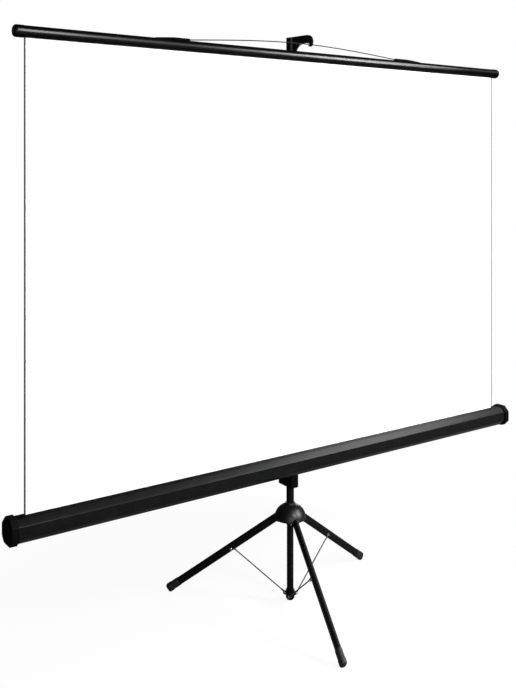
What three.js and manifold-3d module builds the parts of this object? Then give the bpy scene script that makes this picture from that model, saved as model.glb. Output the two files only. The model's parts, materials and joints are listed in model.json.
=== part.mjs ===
// A tripod projector screen, set up with its cloth drawn out of the case and hung on the mast hook.
// Millimetres, +Z up, -Y towards the audience. The mast axis is x = 0; the floor is z = 0.
import * as THREE from 'three';
import { ConvexGeometry } from 'three/addons/geometries/ConvexGeometry.js';
import { mergeVertices } from 'three/addons/utils/BufferGeometryUtils.js';
import Module from 'manifold-3d';

const wasm = await Module();
wasm.setup();

// Counts of sides
const tubeSides = 24;
const roundSides = 20;
const pinSides = 12;
const domeSides = 36;
const domeSteps = 8;
const footSteps = 4;
const footCornerSteps = 5;
const braceSides = 8;
const wireSides = 8;
const hexSides = 6;
const cornerSegments = 6;

// Clearances
const seatGap = 0.25; // a fixed piece in or on its seat
const runningGap = 0.3; // a piece that turns or slides
const cutOverrun = 5; // how far a cutter runs past what it cuts

// Cloth
const clothWidth = 1778;
const clothThickness = 0.6;
const clothAhead = 55; // from the mast axis to the cloth
const clothTuck = 7; // how far the cloth goes up into the bar
const rollAcross = 35; // the cloth still wound on the roller

// Case, an octagonal steel tube
const caseAcross = 62;
const caseCorner = 15.5; // what each sloping face takes off the square
const caseWall = 1;
const caseLength = clothWidth + 72;
const caseHeight = 463; // floor to case axis
const caseAhead = 63; // mast axis to case axis
const caseSlot = 7;
const capWall = 4; // how far a cap stands out of the case all round
const capLength = 24;
const capOutside = caseLength + 28; // over both end caps
const capBevel = 5;
const capPocket = 18;
const capPanelInset = 12; // from a cap's outside to the sunk panel on its end
const capPanelDepth = 1.5;

// Roller
const rollerAcross = 28;
const rollerWall = 1.2;
const bearingThickness = 3;
const bearingInset = 9; // from a case end to its bearing plate
const bossAcross = 16;
const bossLength = 5;
const rollerEndGap = 15; // from a bearing's boss to the roller's end
const rollerInset = bearingInset + bearingThickness + bossLength + rollerEndGap;
const rollerLength = caseLength - 2 * rollerInset;
const plugLength = 40;
const plugFlange = 2;
const pivotPinAcross = 8;
const springRodAcross = 9;
const springAcross = 22;
const springBore = 16;
const springLength = 420;

// Top bar
const barAcross = 30;
const barWall = 1;
const barLength = clothWidth + 46;
const barHeight = 1729.5; // floor to bar axis
const barSlot = 2;
const barCapAcross = 33;
const barCapLength = 28;
const barCapOutside = barLength + 12; // over both bar caps
const barCapRound = 6;

// Bail, the wire that hangs the bar on the hook
const wireAcross = 3.2;
const bailHalf = 400; // bar centre to the bent end of the bail
const bailEase = 8; // straight wire before its clip
const bailTail = 44; // all of the wire's straight end
const bailRise = 22;
const bailSteps = 36;
const bailSweepSteps = 92;
const clipLength = 110;
const clipTaper = 62; // the outer part of a clip that runs out on to the bar
const clipThinEnd = 1.2;
const clipWidth = 14;
const clipHeight = 6.5;
const clipCentre = bailHalf + 58; // bar centre to clip centre
const clipRound = 4;
const clipSink = 2.5; // how far the clip's skirt comes down the round of the bar

// Mast
const mastAcross = 24.2;
const mastWall = 0.9;
const mastTop = 1100;
const mastFoot = 254;
const innerAcross = 18.2; // the tube that carries the hook
const innerWall = 1.2;
const innerOverlap = 168; // the inner tube's end below the top of the mast tube
const collarAcross = 36;
const collarBelow = 48;
const collarAbove = 10;
const leverWidth = 14;
const leverLength = 52;
const leverThickness = 8;
const leverPinAcross = 4;
const leverPinReach = 7; // from the collar's round to the lever pin
const leverPinBelow = 14; // under the top of the mast
const leverAbovePin = 9;
const leverEarThickness = 4;
const leverEarRound = 5;
const collarChamfer = 3;

// Mast hook
const hookTurn = 34.7; // degrees that the hook is turned from straight ahead
const hookTop = barHeight + 64.5;
const hookSocketAcross = 25;
const hookSocketLength = 96;
const hookCover = 12; // plastic over the end of the inner tube
const hookArmThickness = 12;
const hookReach = 76; // mast axis to the tip of the arm
const hookDepth = 40;
const hookNotchPlay = 0.7; // around the bail's wire
const hookNotchHeadroom = 0.6; // over that, for a bar that isn't quite level
const hookNotchMouth = 20;
const hookNotchDrop = 9;
// The arm's outline, out from the mast as shares of its reach and down as shares of its depth
const hookOutlineShares = [
  [-0.14, 0], [0.76, -0.15], [0.88, -0.12], [0.96, 0.02], [1, 0.3], [0.98, 0.6], [0.92, 0.78],
  [0.83, 0.78], [0.8, 0.56], [0.73, 0.48], [0.58, 0.52], [0.45, 0.62], [0.34, 0.78],
  [0.28, 1], [0.26, 1.4], [-0.14, 1.4],
];

// Carriage, the block that holds the case on the mast
const carriageWidth = 31;
const carriageFront = 26; // ahead of the mast axis
const carriageBack = 45; // behind the mast axis
const carriageBottom = 369;
const carriageAboveCase = 37; // over the case axis
const carriageLength = caseHeight + carriageAboveCase - carriageBottom;
const carriageRound = 6;
const clampSlit = 3;
const screwAcross = 8;
const screwHeight = carriageBottom + 0.542 * carriageLength;
const screwBehind = 31; // behind the mast axis
const knobAcross = 42;
const knobLength = 16;
const knobLobes = 6;
const knobLobeDepth = 3;
const knobLobeSteps = 8;
const knobNeckAcross = 18;
const knobNeckLength = 6;
const nutAcross = 14;
const nutLength = 6.5;
const screwTail = 3;
const pivotAcross = 10;
const pivotDepth = 10; // how far the pivot bolt goes into the carriage
const pivotHeadAcross = 18;
const pivotHeadLength = 6;
const plateWidth = 150;
const plateHeight = 23;
const plateThickness = 3;
const plateRound = 8;
const washerAcross = 22;

// Hub on the foot of the mast
const domeAcross = 101;
const domeWall = 3;
const domeFlatness = 0.94; // the dome's rise for its radius
const domeHeight = 267; // floor to the rim of the dome
const domeNeckAcross = 31;
const domeNeckLength = 6;
const domeSlotWidth = 18.5;
const domeSlotRise = 21;
const domeSlotRound = 6;
const sleeveAcross = 30;
const sleeveBottom = 250;
const sleeveTop = 292;
const cheekThickness = 3.4;
const cheekRound = 6;
const cheekTop = 286;
const cheekGap = 0.8; // between a leg and each cheek
const pinRadiusFromMast = 38;
const pinHeight = 262;
const pinAcross = 5;
const pinHeadAcross = 9;
const pinHeadLength = 1.8;

// Legs: flattened tubes, wide across their upright plane and deep in it
const legWide = 16;
const legDeep = 24.5;
const legRound = 7.5;
const legWall = 1.2;
const legHeadings = [134.9, 254.9, 14.9]; // degrees from +X, seen from above
const legSides = ['left', 'front', 'right'];
const footReach = 399.6; // mast axis to the centre of a foot's round end
const footWide = 20.5;
const footDeep = 28;
const footCorner = 9.5;
const footLength = 46;
const footHeight = 10.5; // floor to the middle of a foot's end; the sole is cut flat at the floor
const footEnd = 4; // rubber past the middle of a foot's end
const footRound = 5;
const footSole = 6; // rubber between a leg's tube and the middle of the foot's end
const legAbovePin = 9.7; // height of the leg's axis over its pin
const legHeadroom = 7; // leg past its pin, inside the dome

// Lower tube, collar and braces
const lowerAcross = 21.2;
const lowerWall = 1;
const lowerTop = 468;
const lowerFoot = 12;
const plugAcross = 20.4;
const plugThickness = 3;
const plugStem = 12;
const baseCollarAcross = 28;
const baseCollarBottom = 14;
const baseCollarLength = 27;
const lugRound = 6.5;
const lugThickness = 3;
const collarPinHeight = 24;
const collarPinFromMast = 18;
const braceAcross = 4;
const braceFlankGap = 0.5;
const braceEyeAcross = 11;
const braceEyeThickness = 2.6;
const braceEyeBore = 4.6;
const braceTongueWidth = 6; // the flattened end of the rod behind its eye
const braceTongueLength = 14;
const braceRodStart = 10;
const braceAlongLeg = 192; // along the leg from over its pin to the brace
const braceBelowAxis = 4.75; // brace pin under the leg's axis
const rivetAcross = 4;
const rivetHeadAcross = 8.5;
const rivetHeadLength = 1.6;

// Finishes
const finishes = {
  blackPaint: { color: 0x141414, roughness: 0.38, metalness: 0.35 },
  casePaint: { color: 0x1c1f1f, roughness: 0.42, metalness: 0.3 },
  barPaint: { color: 0x0d0d0d, roughness: 0.25, metalness: 0.4 },
  blackPlastic: { color: 0x101010, roughness: 0.45, metalness: 0 },
  rubber: { color: 0x151515, roughness: 0.8, metalness: 0 },
  steel: { color: 0xb4b4b4, roughness: 0.35, metalness: 1 },
  zinc: { color: 0x9a9c9e, roughness: 0.4, metalness: 1 },
  cloth: { color: 0xf7f7f5, roughness: 0.95, metalness: 0 },
};

const radians = THREE.MathUtils.degToRad;

// A geometry with only merged positions, its faces turned outwards
function closed(geometry) {
  const bare = geometry.clone();
  for (const name of Object.keys(bare.attributes)) {
    if (name !== 'position') bare.deleteAttribute(name);
  }
  const merged = mergeVertices(bare);
  const at = merged.attributes.position;
  const index = merged.index;
  const [a, b, c] = [new THREE.Vector3(), new THREE.Vector3(), new THREE.Vector3()];
  let volume = 0;
  for (let i = 0; i < index.count; i += 3) {
    a.fromBufferAttribute(at, index.getX(i));
    b.fromBufferAttribute(at, index.getX(i + 1));
    c.fromBufferAttribute(at, index.getX(i + 2));
    volume += a.dot(b.cross(c));
  }
  if (volume < 0) {
    for (let i = 0; i < index.count; i += 3) {
      const swap = index.getX(i);
      index.setX(i, index.getX(i + 1));
      index.setX(i + 1, swap);
    }
  }
  return merged;
}

function toSolid(geometry) {
  const { attributes, index } = closed(geometry);
  const mesh = new wasm.Mesh({
    numProp: 3,
    vertProperties: Float32Array.from(attributes.position.array),
    triVerts: Uint32Array.from(index.array),
  });
  return new wasm.Manifold(mesh);
}

function fromSolid(solid) {
  const { vertProperties, triVerts } = solid.getMesh();
  const geometry = new THREE.BufferGeometry();
  geometry.setAttribute('position', new THREE.BufferAttribute(vertProperties, 3));
  geometry.setIndex(new THREE.BufferAttribute(triVerts, 1));
  return geometry;
}

function join(...geometries) {
  const solids = geometries.map(toSolid);
  return fromSolid(solids.reduce((whole, solid) => whole.add(solid)));
}

function cut(geometry, ...cutters) {
  return fromSolid(cutters.reduce((rest, cutter) => rest.subtract(toSolid(cutter)), toSolid(geometry)));
}

// Turned pieces stand on the Z axis
function turned(profile, sides = tubeSides) {
  const points = profile.map(([radius, height]) => new THREE.Vector2(radius, height));
  return new THREE.LatheGeometry(points, sides).rotateX(Math.PI / 2);
}

function rod(across, bottom, top, sides = roundSides) {
  const radius = across / 2;
  return turned([[0, bottom], [radius, bottom], [radius, top], [0, top]], sides);
}

function tube(across, wall, bottom, top, sides = tubeSides) {
  const outer = across / 2;
  const inner = outer - wall;
  return turned([[inner, bottom], [outer, bottom], [outer, top], [inner, top], [inner, bottom]], sides);
}

function alongX(geometry) {
  return geometry.rotateY(Math.PI / 2);
}

function alongY(geometry) {
  return geometry.rotateX(-Math.PI / 2);
}

function box(x0, x1, y0, y1, z0, z1) {
  const geometry = new THREE.BoxGeometry(x1 - x0, y1 - y0, z1 - z0);
  return geometry.translate((x0 + x1) / 2, (y0 + y1) / 2, (z0 + z1) / 2);
}

function plate(shape, thickness) {
  const settings = { depth: thickness, bevelEnabled: false, curveSegments: cornerSegments };
  return new THREE.ExtrudeGeometry(shape, settings);
}

function outline(points) {
  return new THREE.Shape(points.map(([x, y]) => new THREE.Vector2(x, y)));
}

// A rectangle with round corners, centred on the origin
function roundedRectangle(width, height, radius) {
  const [w, h] = [width / 2, height / 2];
  const shape = new THREE.Shape();
  shape.moveTo(w, h - radius);
  shape.absarc(w - radius, h - radius, radius, 0, Math.PI / 2);
  shape.absarc(radius - w, h - radius, radius, Math.PI / 2, Math.PI);
  shape.absarc(radius - w, radius - h, radius, Math.PI, 1.5 * Math.PI);
  shape.absarc(w - radius, radius - h, radius, 1.5 * Math.PI, 2 * Math.PI);
  return shape;
}

// The case's octagon in the plane at x, all its faces moved outwards by a distance
function octagonRing(x, outwards) {
  const half = caseAcross / 2 + outwards;
  const flat = half - caseCorner - (2 - Math.SQRT2) * outwards;
  const corners = [[half, flat], [flat, half], [-flat, half], [-half, flat]];
  return corners.flatMap(([y, z]) => [new THREE.Vector3(x, y, z), new THREE.Vector3(x, -y, -z)]);
}

// A prism along X between two such octagons
function octagon(outwards, x0, x1, endOutwards = outwards) {
  return new ConvexGeometry([...octagonRing(x0, outwards), ...octagonRing(x1, endOutwards)]);
}

const group = new THREE.Group();
const screen = new THREE.Group();
group.add(screen);

function add(name, geometry, finish, parent = screen) {
  const material = new THREE.MeshStandardMaterial(finishes[finish]);
  const mesh = new THREE.Mesh(closed(geometry), material);
  mesh.name = name;
  parent.add(mesh);
  return mesh;
}

const rollAhead = clothAhead + clothThickness / 2 + seatGap + rollAcross / 2;
const barBottom = barHeight - barAcross / 2;

function addCloth() {
  const [front, back] = [-clothAhead - clothThickness / 2, -clothAhead + clothThickness / 2];
  const half = clothWidth / 2;
  add('cloth_sheet', box(-half, half, front, back, caseHeight, barBottom + clothTuck), 'cloth');
  const roll = tube(rollAcross, (rollAcross - rollerAcross) / 2 - seatGap, -half, half);
  add('cloth_roll', alongX(roll).translate(0, -rollAhead, caseHeight), 'cloth');
}

function addCase() {
  const half = caseLength / 2;
  const slotFront = caseAhead - clothAhead - caseSlot / 2;
  const slot = box(
    -half - cutOverrun, half + cutOverrun, slotFront, slotFront + caseSlot,
    caseAcross / 2 - caseWall - cutOverrun, caseAcross / 2 + cutOverrun,
  );
  const bore = octagon(-caseWall, -half - cutOverrun, half + cutOverrun);
  const bolt = alongY(rod(pivotAcross + 2 * runningGap, 0, caseAcross));
  add('case_shell', cut(octagon(0, -half, half), bore, slot, bolt)
    .translate(0, -caseAhead, caseHeight), 'casePaint');
  for (const [side, name] of [[-1, 'left'], [1, 'right']]) {
    addEndCap(side, `end_cap_${name}`);
    addBearing(side, `bearing_plate_${name}`);
  }
}

function addEndCap(side, name) {
  const outer = capOutside / 2;
  const inner = outer - capLength;
  const wide = octagon(capWall, inner, outer - capBevel);
  const bevel = octagon(capWall, outer - capBevel, outer, capWall - capBevel);
  const pocket = octagon(seatGap, inner - cutOverrun, inner + capPocket);
  const panel = octagon(capWall - capPanelInset, outer - capPanelDepth, outer + cutOverrun);
  const cap = cut(join(wide, bevel), pocket, panel);
  cap.translate(0, -caseAhead, caseHeight);
  if (side < 0) cap.rotateZ(Math.PI).translate(0, -2 * caseAhead, 0);
  add(name, cap, 'blackPlastic');
}

function addBearing(side, name) {
  const outer = caseLength / 2 - bearingInset;
  const inner = outer - bearingThickness;
  const face = inner - bossLength;
  const bore = alongX(rod(pivotPinAcross + 2 * runningGap, face - cutOverrun, outer + cutOverrun));
  const boss = alongX(rod(bossAcross, face, inner + bearingThickness / 2));
  const offset = caseAhead - rollAhead;
  const disc = octagon(-caseWall - seatGap, inner, outer);
  const bearing = cut(join(disc, boss.translate(0, offset, 0)), bore.translate(0, offset, 0));
  if (side < 0) bearing.scale(-1, 1, 1);
  add(name, bearing.translate(0, -caseAhead, caseHeight), 'zinc');
}

function addRoller() {
  const half = rollerLength / 2;
  const bearingFace = caseLength / 2 - bearingInset - bearingThickness - bossLength;
  const place = (geometry) => alongX(geometry).translate(0, -rollAhead, caseHeight);
  const bore = rollerAcross - 2 * rollerWall;
  add('roller_tube', place(tube(rollerAcross, rollerWall, -half, half)), 'zinc');

  const flange = rod(rollerAcross, half + seatGap, half + seatGap + plugFlange);
  const body = rod(bore - 2 * seatGap, half - plugLength, half + seatGap + plugFlange / 2);
  const pin = rod(pivotPinAcross, half, bearingFace + bossLength + bearingThickness, pinSides);
  const plug = join(body, flange, pin);
  add('idle_plug', place(plug.clone()), 'blackPlastic');

  const rodHole = rod(springRodAcross + 2 * runningGap, 0, half + plugLength);
  const drivePlug = cut(join(body, flange), rodHole);
  add('spring_plug', place(drivePlug).scale(-1, 1, 1), 'blackPlastic');

  const rodEnd = bearingFace + bossLength + bearingThickness;
  const springEnd = half - plugLength - seatGap;
  const shaft = rod(springRodAcross, springEnd - springLength, bearingFace - seatGap);
  const square = rod(pivotPinAcross, bearingFace - cutOverrun, rodEnd, pinSides);
  add('spring_rod', place(join(shaft, square)).scale(-1, 1, 1), 'steel');
  const spring = tube(springAcross, (springAcross - springBore) / 2, springEnd - springLength, springEnd);
  add('roller_spring', place(spring).scale(-1, 1, 1), 'steel');
}

function addBar() {
  const half = barLength / 2;
  const place = (geometry) => geometry.translate(0, -clothAhead, barHeight);
  const groove = box(
    -half - cutOverrun, half + cutOverrun, -barSlot / 2, barSlot / 2,
    -barAcross / 2 - cutOverrun, -barAcross / 2 + barWall + cutOverrun,
  );
  const bar = cut(alongX(tube(barAcross, barWall, -half, half)), groove);
  add('top_bar', place(bar), 'barPaint');
  for (const [side, name] of [[-1, 'left'], [1, 'right']]) {
    const outer = barCapOutside / 2;
    const radius = barCapAcross / 2;
    const inner = barAcross / 2 + seatGap;
    const cap = alongX(turned([
      [0, half + seatGap], [inner, half + seatGap], [inner, outer - barCapLength],
      [radius, outer - barCapLength], [radius, outer - barCapRound],
      [radius - barCapRound / 3, outer - barCapRound / 3], [radius - barCapRound, outer], [0, outer],
    ]));
    if (side < 0) cap.scale(-1, 1, 1);
    add(`bar_cap_${name}`, place(cap), 'blackPlastic');
  }
}

const bailBase = barHeight + barAcross / 2 + clipHeight / 2;

// Height of the bail over its pins at a distance from the middle, as a sprung wire bends
function bailHeight(distance) {
  const share = Math.min(distance / bailHalf, 1);
  return bailBase + bailRise * (1 - (3 * share ** 2 - share ** 3) / 2);
}

function addBail() {
  const points = [];
  const straight = (x) => points.push(new THREE.Vector3(x, -clothAhead, bailBase));
  straight(-bailHalf - bailTail);
  straight(-bailHalf - bailEase);
  for (let step = 0; step <= bailSteps; step += 1) {
    const x = bailHalf * (2 * step / bailSteps - 1);
    points.push(new THREE.Vector3(x, -clothAhead, bailHeight(Math.abs(x))));
  }
  straight(bailHalf + bailEase);
  straight(bailHalf + bailTail);
  const path = new THREE.CatmullRomCurve3(points);
  const section = new THREE.Shape();
  section.absarc(0, 0, wireAcross / 2, 0, 2 * Math.PI);
  const wire = new THREE.ExtrudeGeometry(section, {
    steps: bailSweepSteps, extrudePath: path, curveSegments: wireSides / 2, bevelEnabled: false,
  });
  add('bail_wire', wire, 'steel');
  for (const [side, name] of [[-1, 'left'], [1, 'right']]) {
    const saddle = plate(roundedRectangle(clipWidth, clipHeight + clipSink, clipRound), clipLength);
    const top = bailBase + clipHeight / 2;
    saddle.rotateZ(Math.PI / 2).rotateY(Math.PI / 2);
    saddle.translate(-clipLength / 2, -clothAhead, top - (clipHeight + clipSink) / 2);
    const drop = clipHeight - clipThinEnd;
    const over = new THREE.Shape();
    over.moveTo(clipLength / 2 - clipTaper, top);
    over.lineTo(clipLength / 2 + cutOverrun, top - drop * (1 + cutOverrun / clipTaper));
    over.lineTo(clipLength / 2 + cutOverrun, top + clipHeight);
    over.lineTo(clipLength / 2 - clipTaper, top + clipHeight);
    const wedge = radialPlate(over, clipWidth + 2 * cutOverrun);
    const seat = alongX(rod(barAcross + 2 * seatGap, -clipLength, clipLength, tubeSides));
    const holeEnd = bailHalf + bailTail + runningGap - clipCentre;
    const hole = alongX(rod(wireAcross + 2 * runningGap, -clipLength, holeEnd, pinSides));
    const clip = cut(
      saddle,
      seat.translate(0, -clothAhead, barHeight),
      hole.translate(0, -clothAhead, bailBase),
      wedge.translate(0, -clothAhead, 0),
    );
    if (side < 0) clip.scale(-1, 1, 1);
    add(`bail_clip_${name}`, clip.translate(side * clipCentre, 0, 0), 'blackPaint');
  }
}

// Pieces set out from the mast: the outline lies in an upright plane (out, up) along +X, and the
// thickness is centred sideways on the offset
function radialPlate(shape, thickness, offset = 0) {
  return plate(shape, thickness).rotateX(Math.PI / 2).translate(0, offset + thickness / 2, 0);
}

function crossRod(across, from, to, out, up, sides = pinSides) {
  return alongY(rod(across, from, to, sides)).translate(out, 0, up);
}

// A rivet across an upright radial plane, with a head outside each end of its grip
function rivet(across, headAcross, headLength, from, to, out, up) {
  const radius = headAcross / 2;
  const edge = headLength / 2;
  const head = turned([
    [0, 0], [radius, 0], [radius, edge], [radius - edge, headLength], [0, headLength],
  ], pinSides);
  const farHead = head.clone().rotateX(Math.PI).translate(0, 0, from);
  const shank = rod(across, from - edge, to + edge, pinSides);
  return alongY(join(shank, head.translate(0, 0, to), farHead)).translate(out, 0, up);
}

function addMast() {
  add('mast_tube', tube(mastAcross, mastWall, mastFoot, mastTop), 'blackPaint');
  const innerFoot = mastTop - innerOverlap;
  add('inner_tube', tube(innerAcross, innerWall, innerFoot, hookTop - hookCover), 'blackPaint');
}

function addCollar() {
  const radius = collarAcross / 2;
  const low = mastTop - collarBelow;
  const high = mastTop + collarAbove;
  const ring = turned([
    [0, low], [radius - collarChamfer, low], [radius, low + collarChamfer],
    [radius, high - collarChamfer], [radius - collarChamfer, high], [0, high],
  ]);
  const pinOut = radius + leverPinReach;
  const pinUp = mastTop - leverPinBelow;
  const ear = new THREE.Shape();
  ear.moveTo(0, pinUp - 2 * leverEarRound);
  ear.lineTo(pinOut, pinUp - leverEarRound);
  ear.absarc(pinOut, pinUp, leverEarRound, -Math.PI / 2, Math.PI / 2);
  ear.lineTo(0, pinUp + 2 * leverEarRound);
  const earOffset = leverWidth / 2 + runningGap + leverEarThickness / 2;
  const ears = [-earOffset, earOffset].map((offset) => radialPlate(ear, leverEarThickness, offset));
  const outside = earOffset + leverEarThickness / 2;
  const collar = cut(
    join(ring, ...ears),
    rod(mastAcross + 2 * seatGap, low - cutOverrun, mastTop + seatGap, tubeSides),
    rod(innerAcross + 2 * runningGap, low, high + cutOverrun, tubeSides),
    crossRod(leverPinAcross + 2 * seatGap, -2 * outside, 2 * outside, pinOut, pinUp),
  );
  add('mast_collar', collar.rotateZ(Math.PI / 2), 'blackPlastic');

  const bladeShape = roundedRectangle(leverThickness, leverLength, leverThickness / 3);
  const blade = radialPlate(bladeShape, leverWidth);
  blade.translate(pinOut, 0, pinUp - leverLength / 2 + leverAbovePin);
  const hole = crossRod(leverPinAcross + 2 * runningGap, -leverWidth, leverWidth, pinOut, pinUp);
  add('release_lever', cut(blade, hole).rotateZ(Math.PI / 2), 'blackPlastic');
  const pin = crossRod(leverPinAcross, -outside, outside, pinOut, pinUp);
  add('lever_pin', pin.rotateZ(Math.PI / 2), 'steel');
}

function addHook() {
  const arm = outline(hookOutlineShares.map(
    ([out, down]) => [out * hookReach, hookTop - down * hookDepth],
  ));
  const mouth = hookTop - hookSocketLength;
  const socket = rod(hookSocketAcross, mouth, hookTop, tubeSides);
  const hook = join(radialPlate(arm, hookArmThickness), socket);
  hook.rotateZ(radians(hookTurn) - Math.PI / 2);
  const boreEnd = hookTop - hookCover + seatGap;
  const bore = rod(innerAcross + 2 * seatGap, mouth - cutOverrun, boreEnd, tubeSides);
  const play = wireAcross / 2 + hookNotchPlay;
  const wireHeight = bailHeight(clothAhead * Math.tan(radians(hookTurn)));
  const front = -clothAhead - play;
  const back = front + hookNotchMouth;
  const [low, high] = [wireHeight - play, wireHeight + play + hookNotchHeadroom];
  const notch = plate(outline([
    [front, low], [front, high], [back, high], [back, low - hookNotchDrop], [-clothAhead, low],
  ]), 2 * hookReach);
  notch.rotateZ(Math.PI / 2).rotateY(Math.PI / 2);
  add('mast_hook', cut(hook, bore, notch.translate(-hookReach, 0, 0)), 'blackPlastic');
}

function addCarriage() {
  const depth = carriageFront + carriageBack;
  const top = carriageBottom + carriageLength;
  const block = plate(roundedRectangle(carriageWidth, depth, carriageRound), carriageLength);
  block.translate(0, (carriageBack - carriageFront) / 2, carriageBottom);
  const [under, over] = [carriageBottom - cutOverrun, top + cutOverrun];
  const half = carriageWidth / 2;
  const atScrew = (geometry) => alongX(geometry).translate(0, screwBehind, screwHeight);
  const pivotBore = rod(pivotAcross + 2 * seatGap, -cutOverrun, pivotDepth);
  add('carriage_block', cut(
    block,
    rod(mastAcross + 2 * runningGap, under, over, tubeSides),
    box(-clampSlit / 2, clampSlit / 2, 0, carriageBack + cutOverrun, under, over),
    atScrew(rod(screwAcross + 2 * runningGap, -half - cutOverrun, half + cutOverrun)),
    alongY(pivotBore).translate(0, -carriageFront, caseHeight),
  ), 'blackPlastic');

  const nutFace = -half - seatGap;
  const nutHole = rod(screwAcross + 2 * runningGap, nutFace - nutLength - cutOverrun, 0);
  const nut = cut(rod(nutAcross, nutFace - nutLength, nutFace, hexSides), nutHole);
  add('clamp_nut', atScrew(nut), 'zinc');
  const neckStart = half + runningGap;
  const neckEnd = neckStart + knobNeckLength;
  const screwEnd = neckEnd + knobLength / 2;
  add('clamp_screw', atScrew(rod(screwAcross, nutFace - nutLength - screwTail, screwEnd)), 'zinc');
  const lobeCorners = knobLobes * knobLobeSteps;
  const lobes = Array.from({ length: lobeCorners }, (_, step) => {
    const angle = step / lobeCorners * 2 * Math.PI;
    const radius = knobAcross / 2 - knobLobeDepth / 2 * (1 - Math.cos(knobLobes * angle));
    return [radius * Math.cos(angle), radius * Math.sin(angle)];
  });
  const grip = plate(outline(lobes), knobLength).translate(0, 0, neckEnd);
  const neck = rod(knobNeckAcross, neckStart, screwEnd);
  const screwHole = rod(screwAcross + 2 * seatGap, 0, screwEnd + seatGap);
  add('clamp_knob', atScrew(cut(join(grip, neck), screwHole)), 'blackPlastic');
}

function addPivot() {
  const caseBack = -caseAhead + caseAcross / 2;
  const atPivot = (geometry) => alongY(geometry).translate(0, 0, caseHeight);
  const headFace = caseBack - caseWall - runningGap;
  const head = rod(pivotHeadAcross, headFace - pivotHeadLength, headFace, 6);
  const shank = rod(pivotAcross, headFace - pivotHeadLength / 2, -carriageFront + pivotDepth - seatGap);
  add('pivot_bolt', atPivot(join(head, shank)), 'zinc');
  const hole = rod(pivotAcross + 2 * runningGap, caseBack - cutOverrun, -carriageFront + cutOverrun);
  const plateFace = caseBack + seatGap;
  const plateBack = plateFace + plateThickness;
  const mounting = plate(roundedRectangle(plateWidth, plateHeight, plateRound), plateThickness);
  add('pivot_plate', atPivot(cut(mounting.translate(0, 0, plateFace), hole)), 'casePaint');
  const washer = rod(washerAcross, plateBack + seatGap, -carriageFront - seatGap, tubeSides);
  add('pivot_washer', atPivot(cut(washer, hole)), 'zinc');
}

const cheekOffset = legWide / 2 + cheekGap + cheekThickness / 2;
const cheekOutside = cheekOffset + cheekThickness / 2;

function addHub() {
  const cheek = new THREE.Shape();
  cheek.moveTo(0, sleeveBottom);
  cheek.lineTo(pinRadiusFromMast, pinHeight - cheekRound);
  cheek.absarc(pinRadiusFromMast, pinHeight, cheekRound, -Math.PI / 2, Math.PI / 2);
  cheek.lineTo(sleeveAcross, cheekTop);
  cheek.lineTo(0, cheekTop);
  const cheeks = [];
  const holes = [];
  for (const heading of legHeadings) {
    for (const offset of [-cheekOffset, cheekOffset]) {
      cheeks.push(radialPlate(cheek, cheekThickness, offset).rotateZ(radians(heading)));
    }
    const reach = cheekOutside + cutOverrun;
    const hole = crossRod(pinAcross + 2 * seatGap, -reach, reach, pinRadiusFromMast, pinHeight);
    holes.push(hole.rotateZ(radians(heading)));
  }
  const sleeve = rod(sleeveAcross, sleeveBottom, sleeveTop, tubeSides);
  const [under, over] = [sleeveBottom - cutOverrun, sleeveTop + cutOverrun];
  const bore = rod(mastAcross + 2 * seatGap, under, over, tubeSides);
  add('hub_spider', cut(join(sleeve, ...cheeks), bore, ...holes), 'blackPlastic');
}

function addDome() {
  const outer = domeAcross / 2;
  const neck = domeNeckAcross / 2;
  const hole = mastAcross / 2 + seatGap;
  const arc = (radius, end) => Array.from({ length: domeSteps + 1 }, (_, step) => {
    const angle = step / domeSteps * Math.acos(end / radius);
    return [radius * Math.cos(angle), domeHeight + domeFlatness * radius * Math.sin(angle)];
  });
  const outside = arc(outer, neck);
  const neckTop = outside[domeSteps][1] + domeNeckLength;
  const inside = arc(outer - domeWall, sleeveAcross / 2 + seatGap).reverse();
  const roof = inside[0][1];
  const profile = [...outside, [neck, neckTop], [hole, neckTop], [hole, roof], ...inside, outside[0]];
  const slots = legHeadings.map((heading) => {
    const shape = roundedRectangle(domeSlotWidth, 2 * domeSlotRise, domeSlotRound);
    const slot = plate(shape, domeAcross);
    slot.rotateZ(Math.PI / 2).rotateY(Math.PI / 2);
    return slot.translate(sleeveAcross / 2, 0, domeHeight).rotateZ(radians(heading));
  });
  add('hub_dome', cut(turned(profile, domeSides), ...slots), 'blackPlastic');
}

// The leg's axis in its upright plane, from over its pin to the round of its foot
const legTopHeight = pinHeight + legAbovePin;
const legRun = footReach - pinRadiusFromMast;
const legDrop = legTopHeight - footHeight;
const legReach = Math.hypot(legRun, legDrop);
const legTilt = Math.atan2(legRun, -legDrop);
const braceOut = pinRadiusFromMast
  + (legRun * braceAlongLeg - legDrop * braceBelowAxis) / legReach;
const braceUp = legTopHeight
  - (legDrop * braceAlongLeg + legRun * braceBelowAxis) / legReach;

// A piece built along +Z from over the leg's pin, laid along the leg
function alongLeg(geometry) {
  return geometry.rotateY(legTilt).translate(pinRadiusFromMast, 0, legTopHeight);
}

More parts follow.
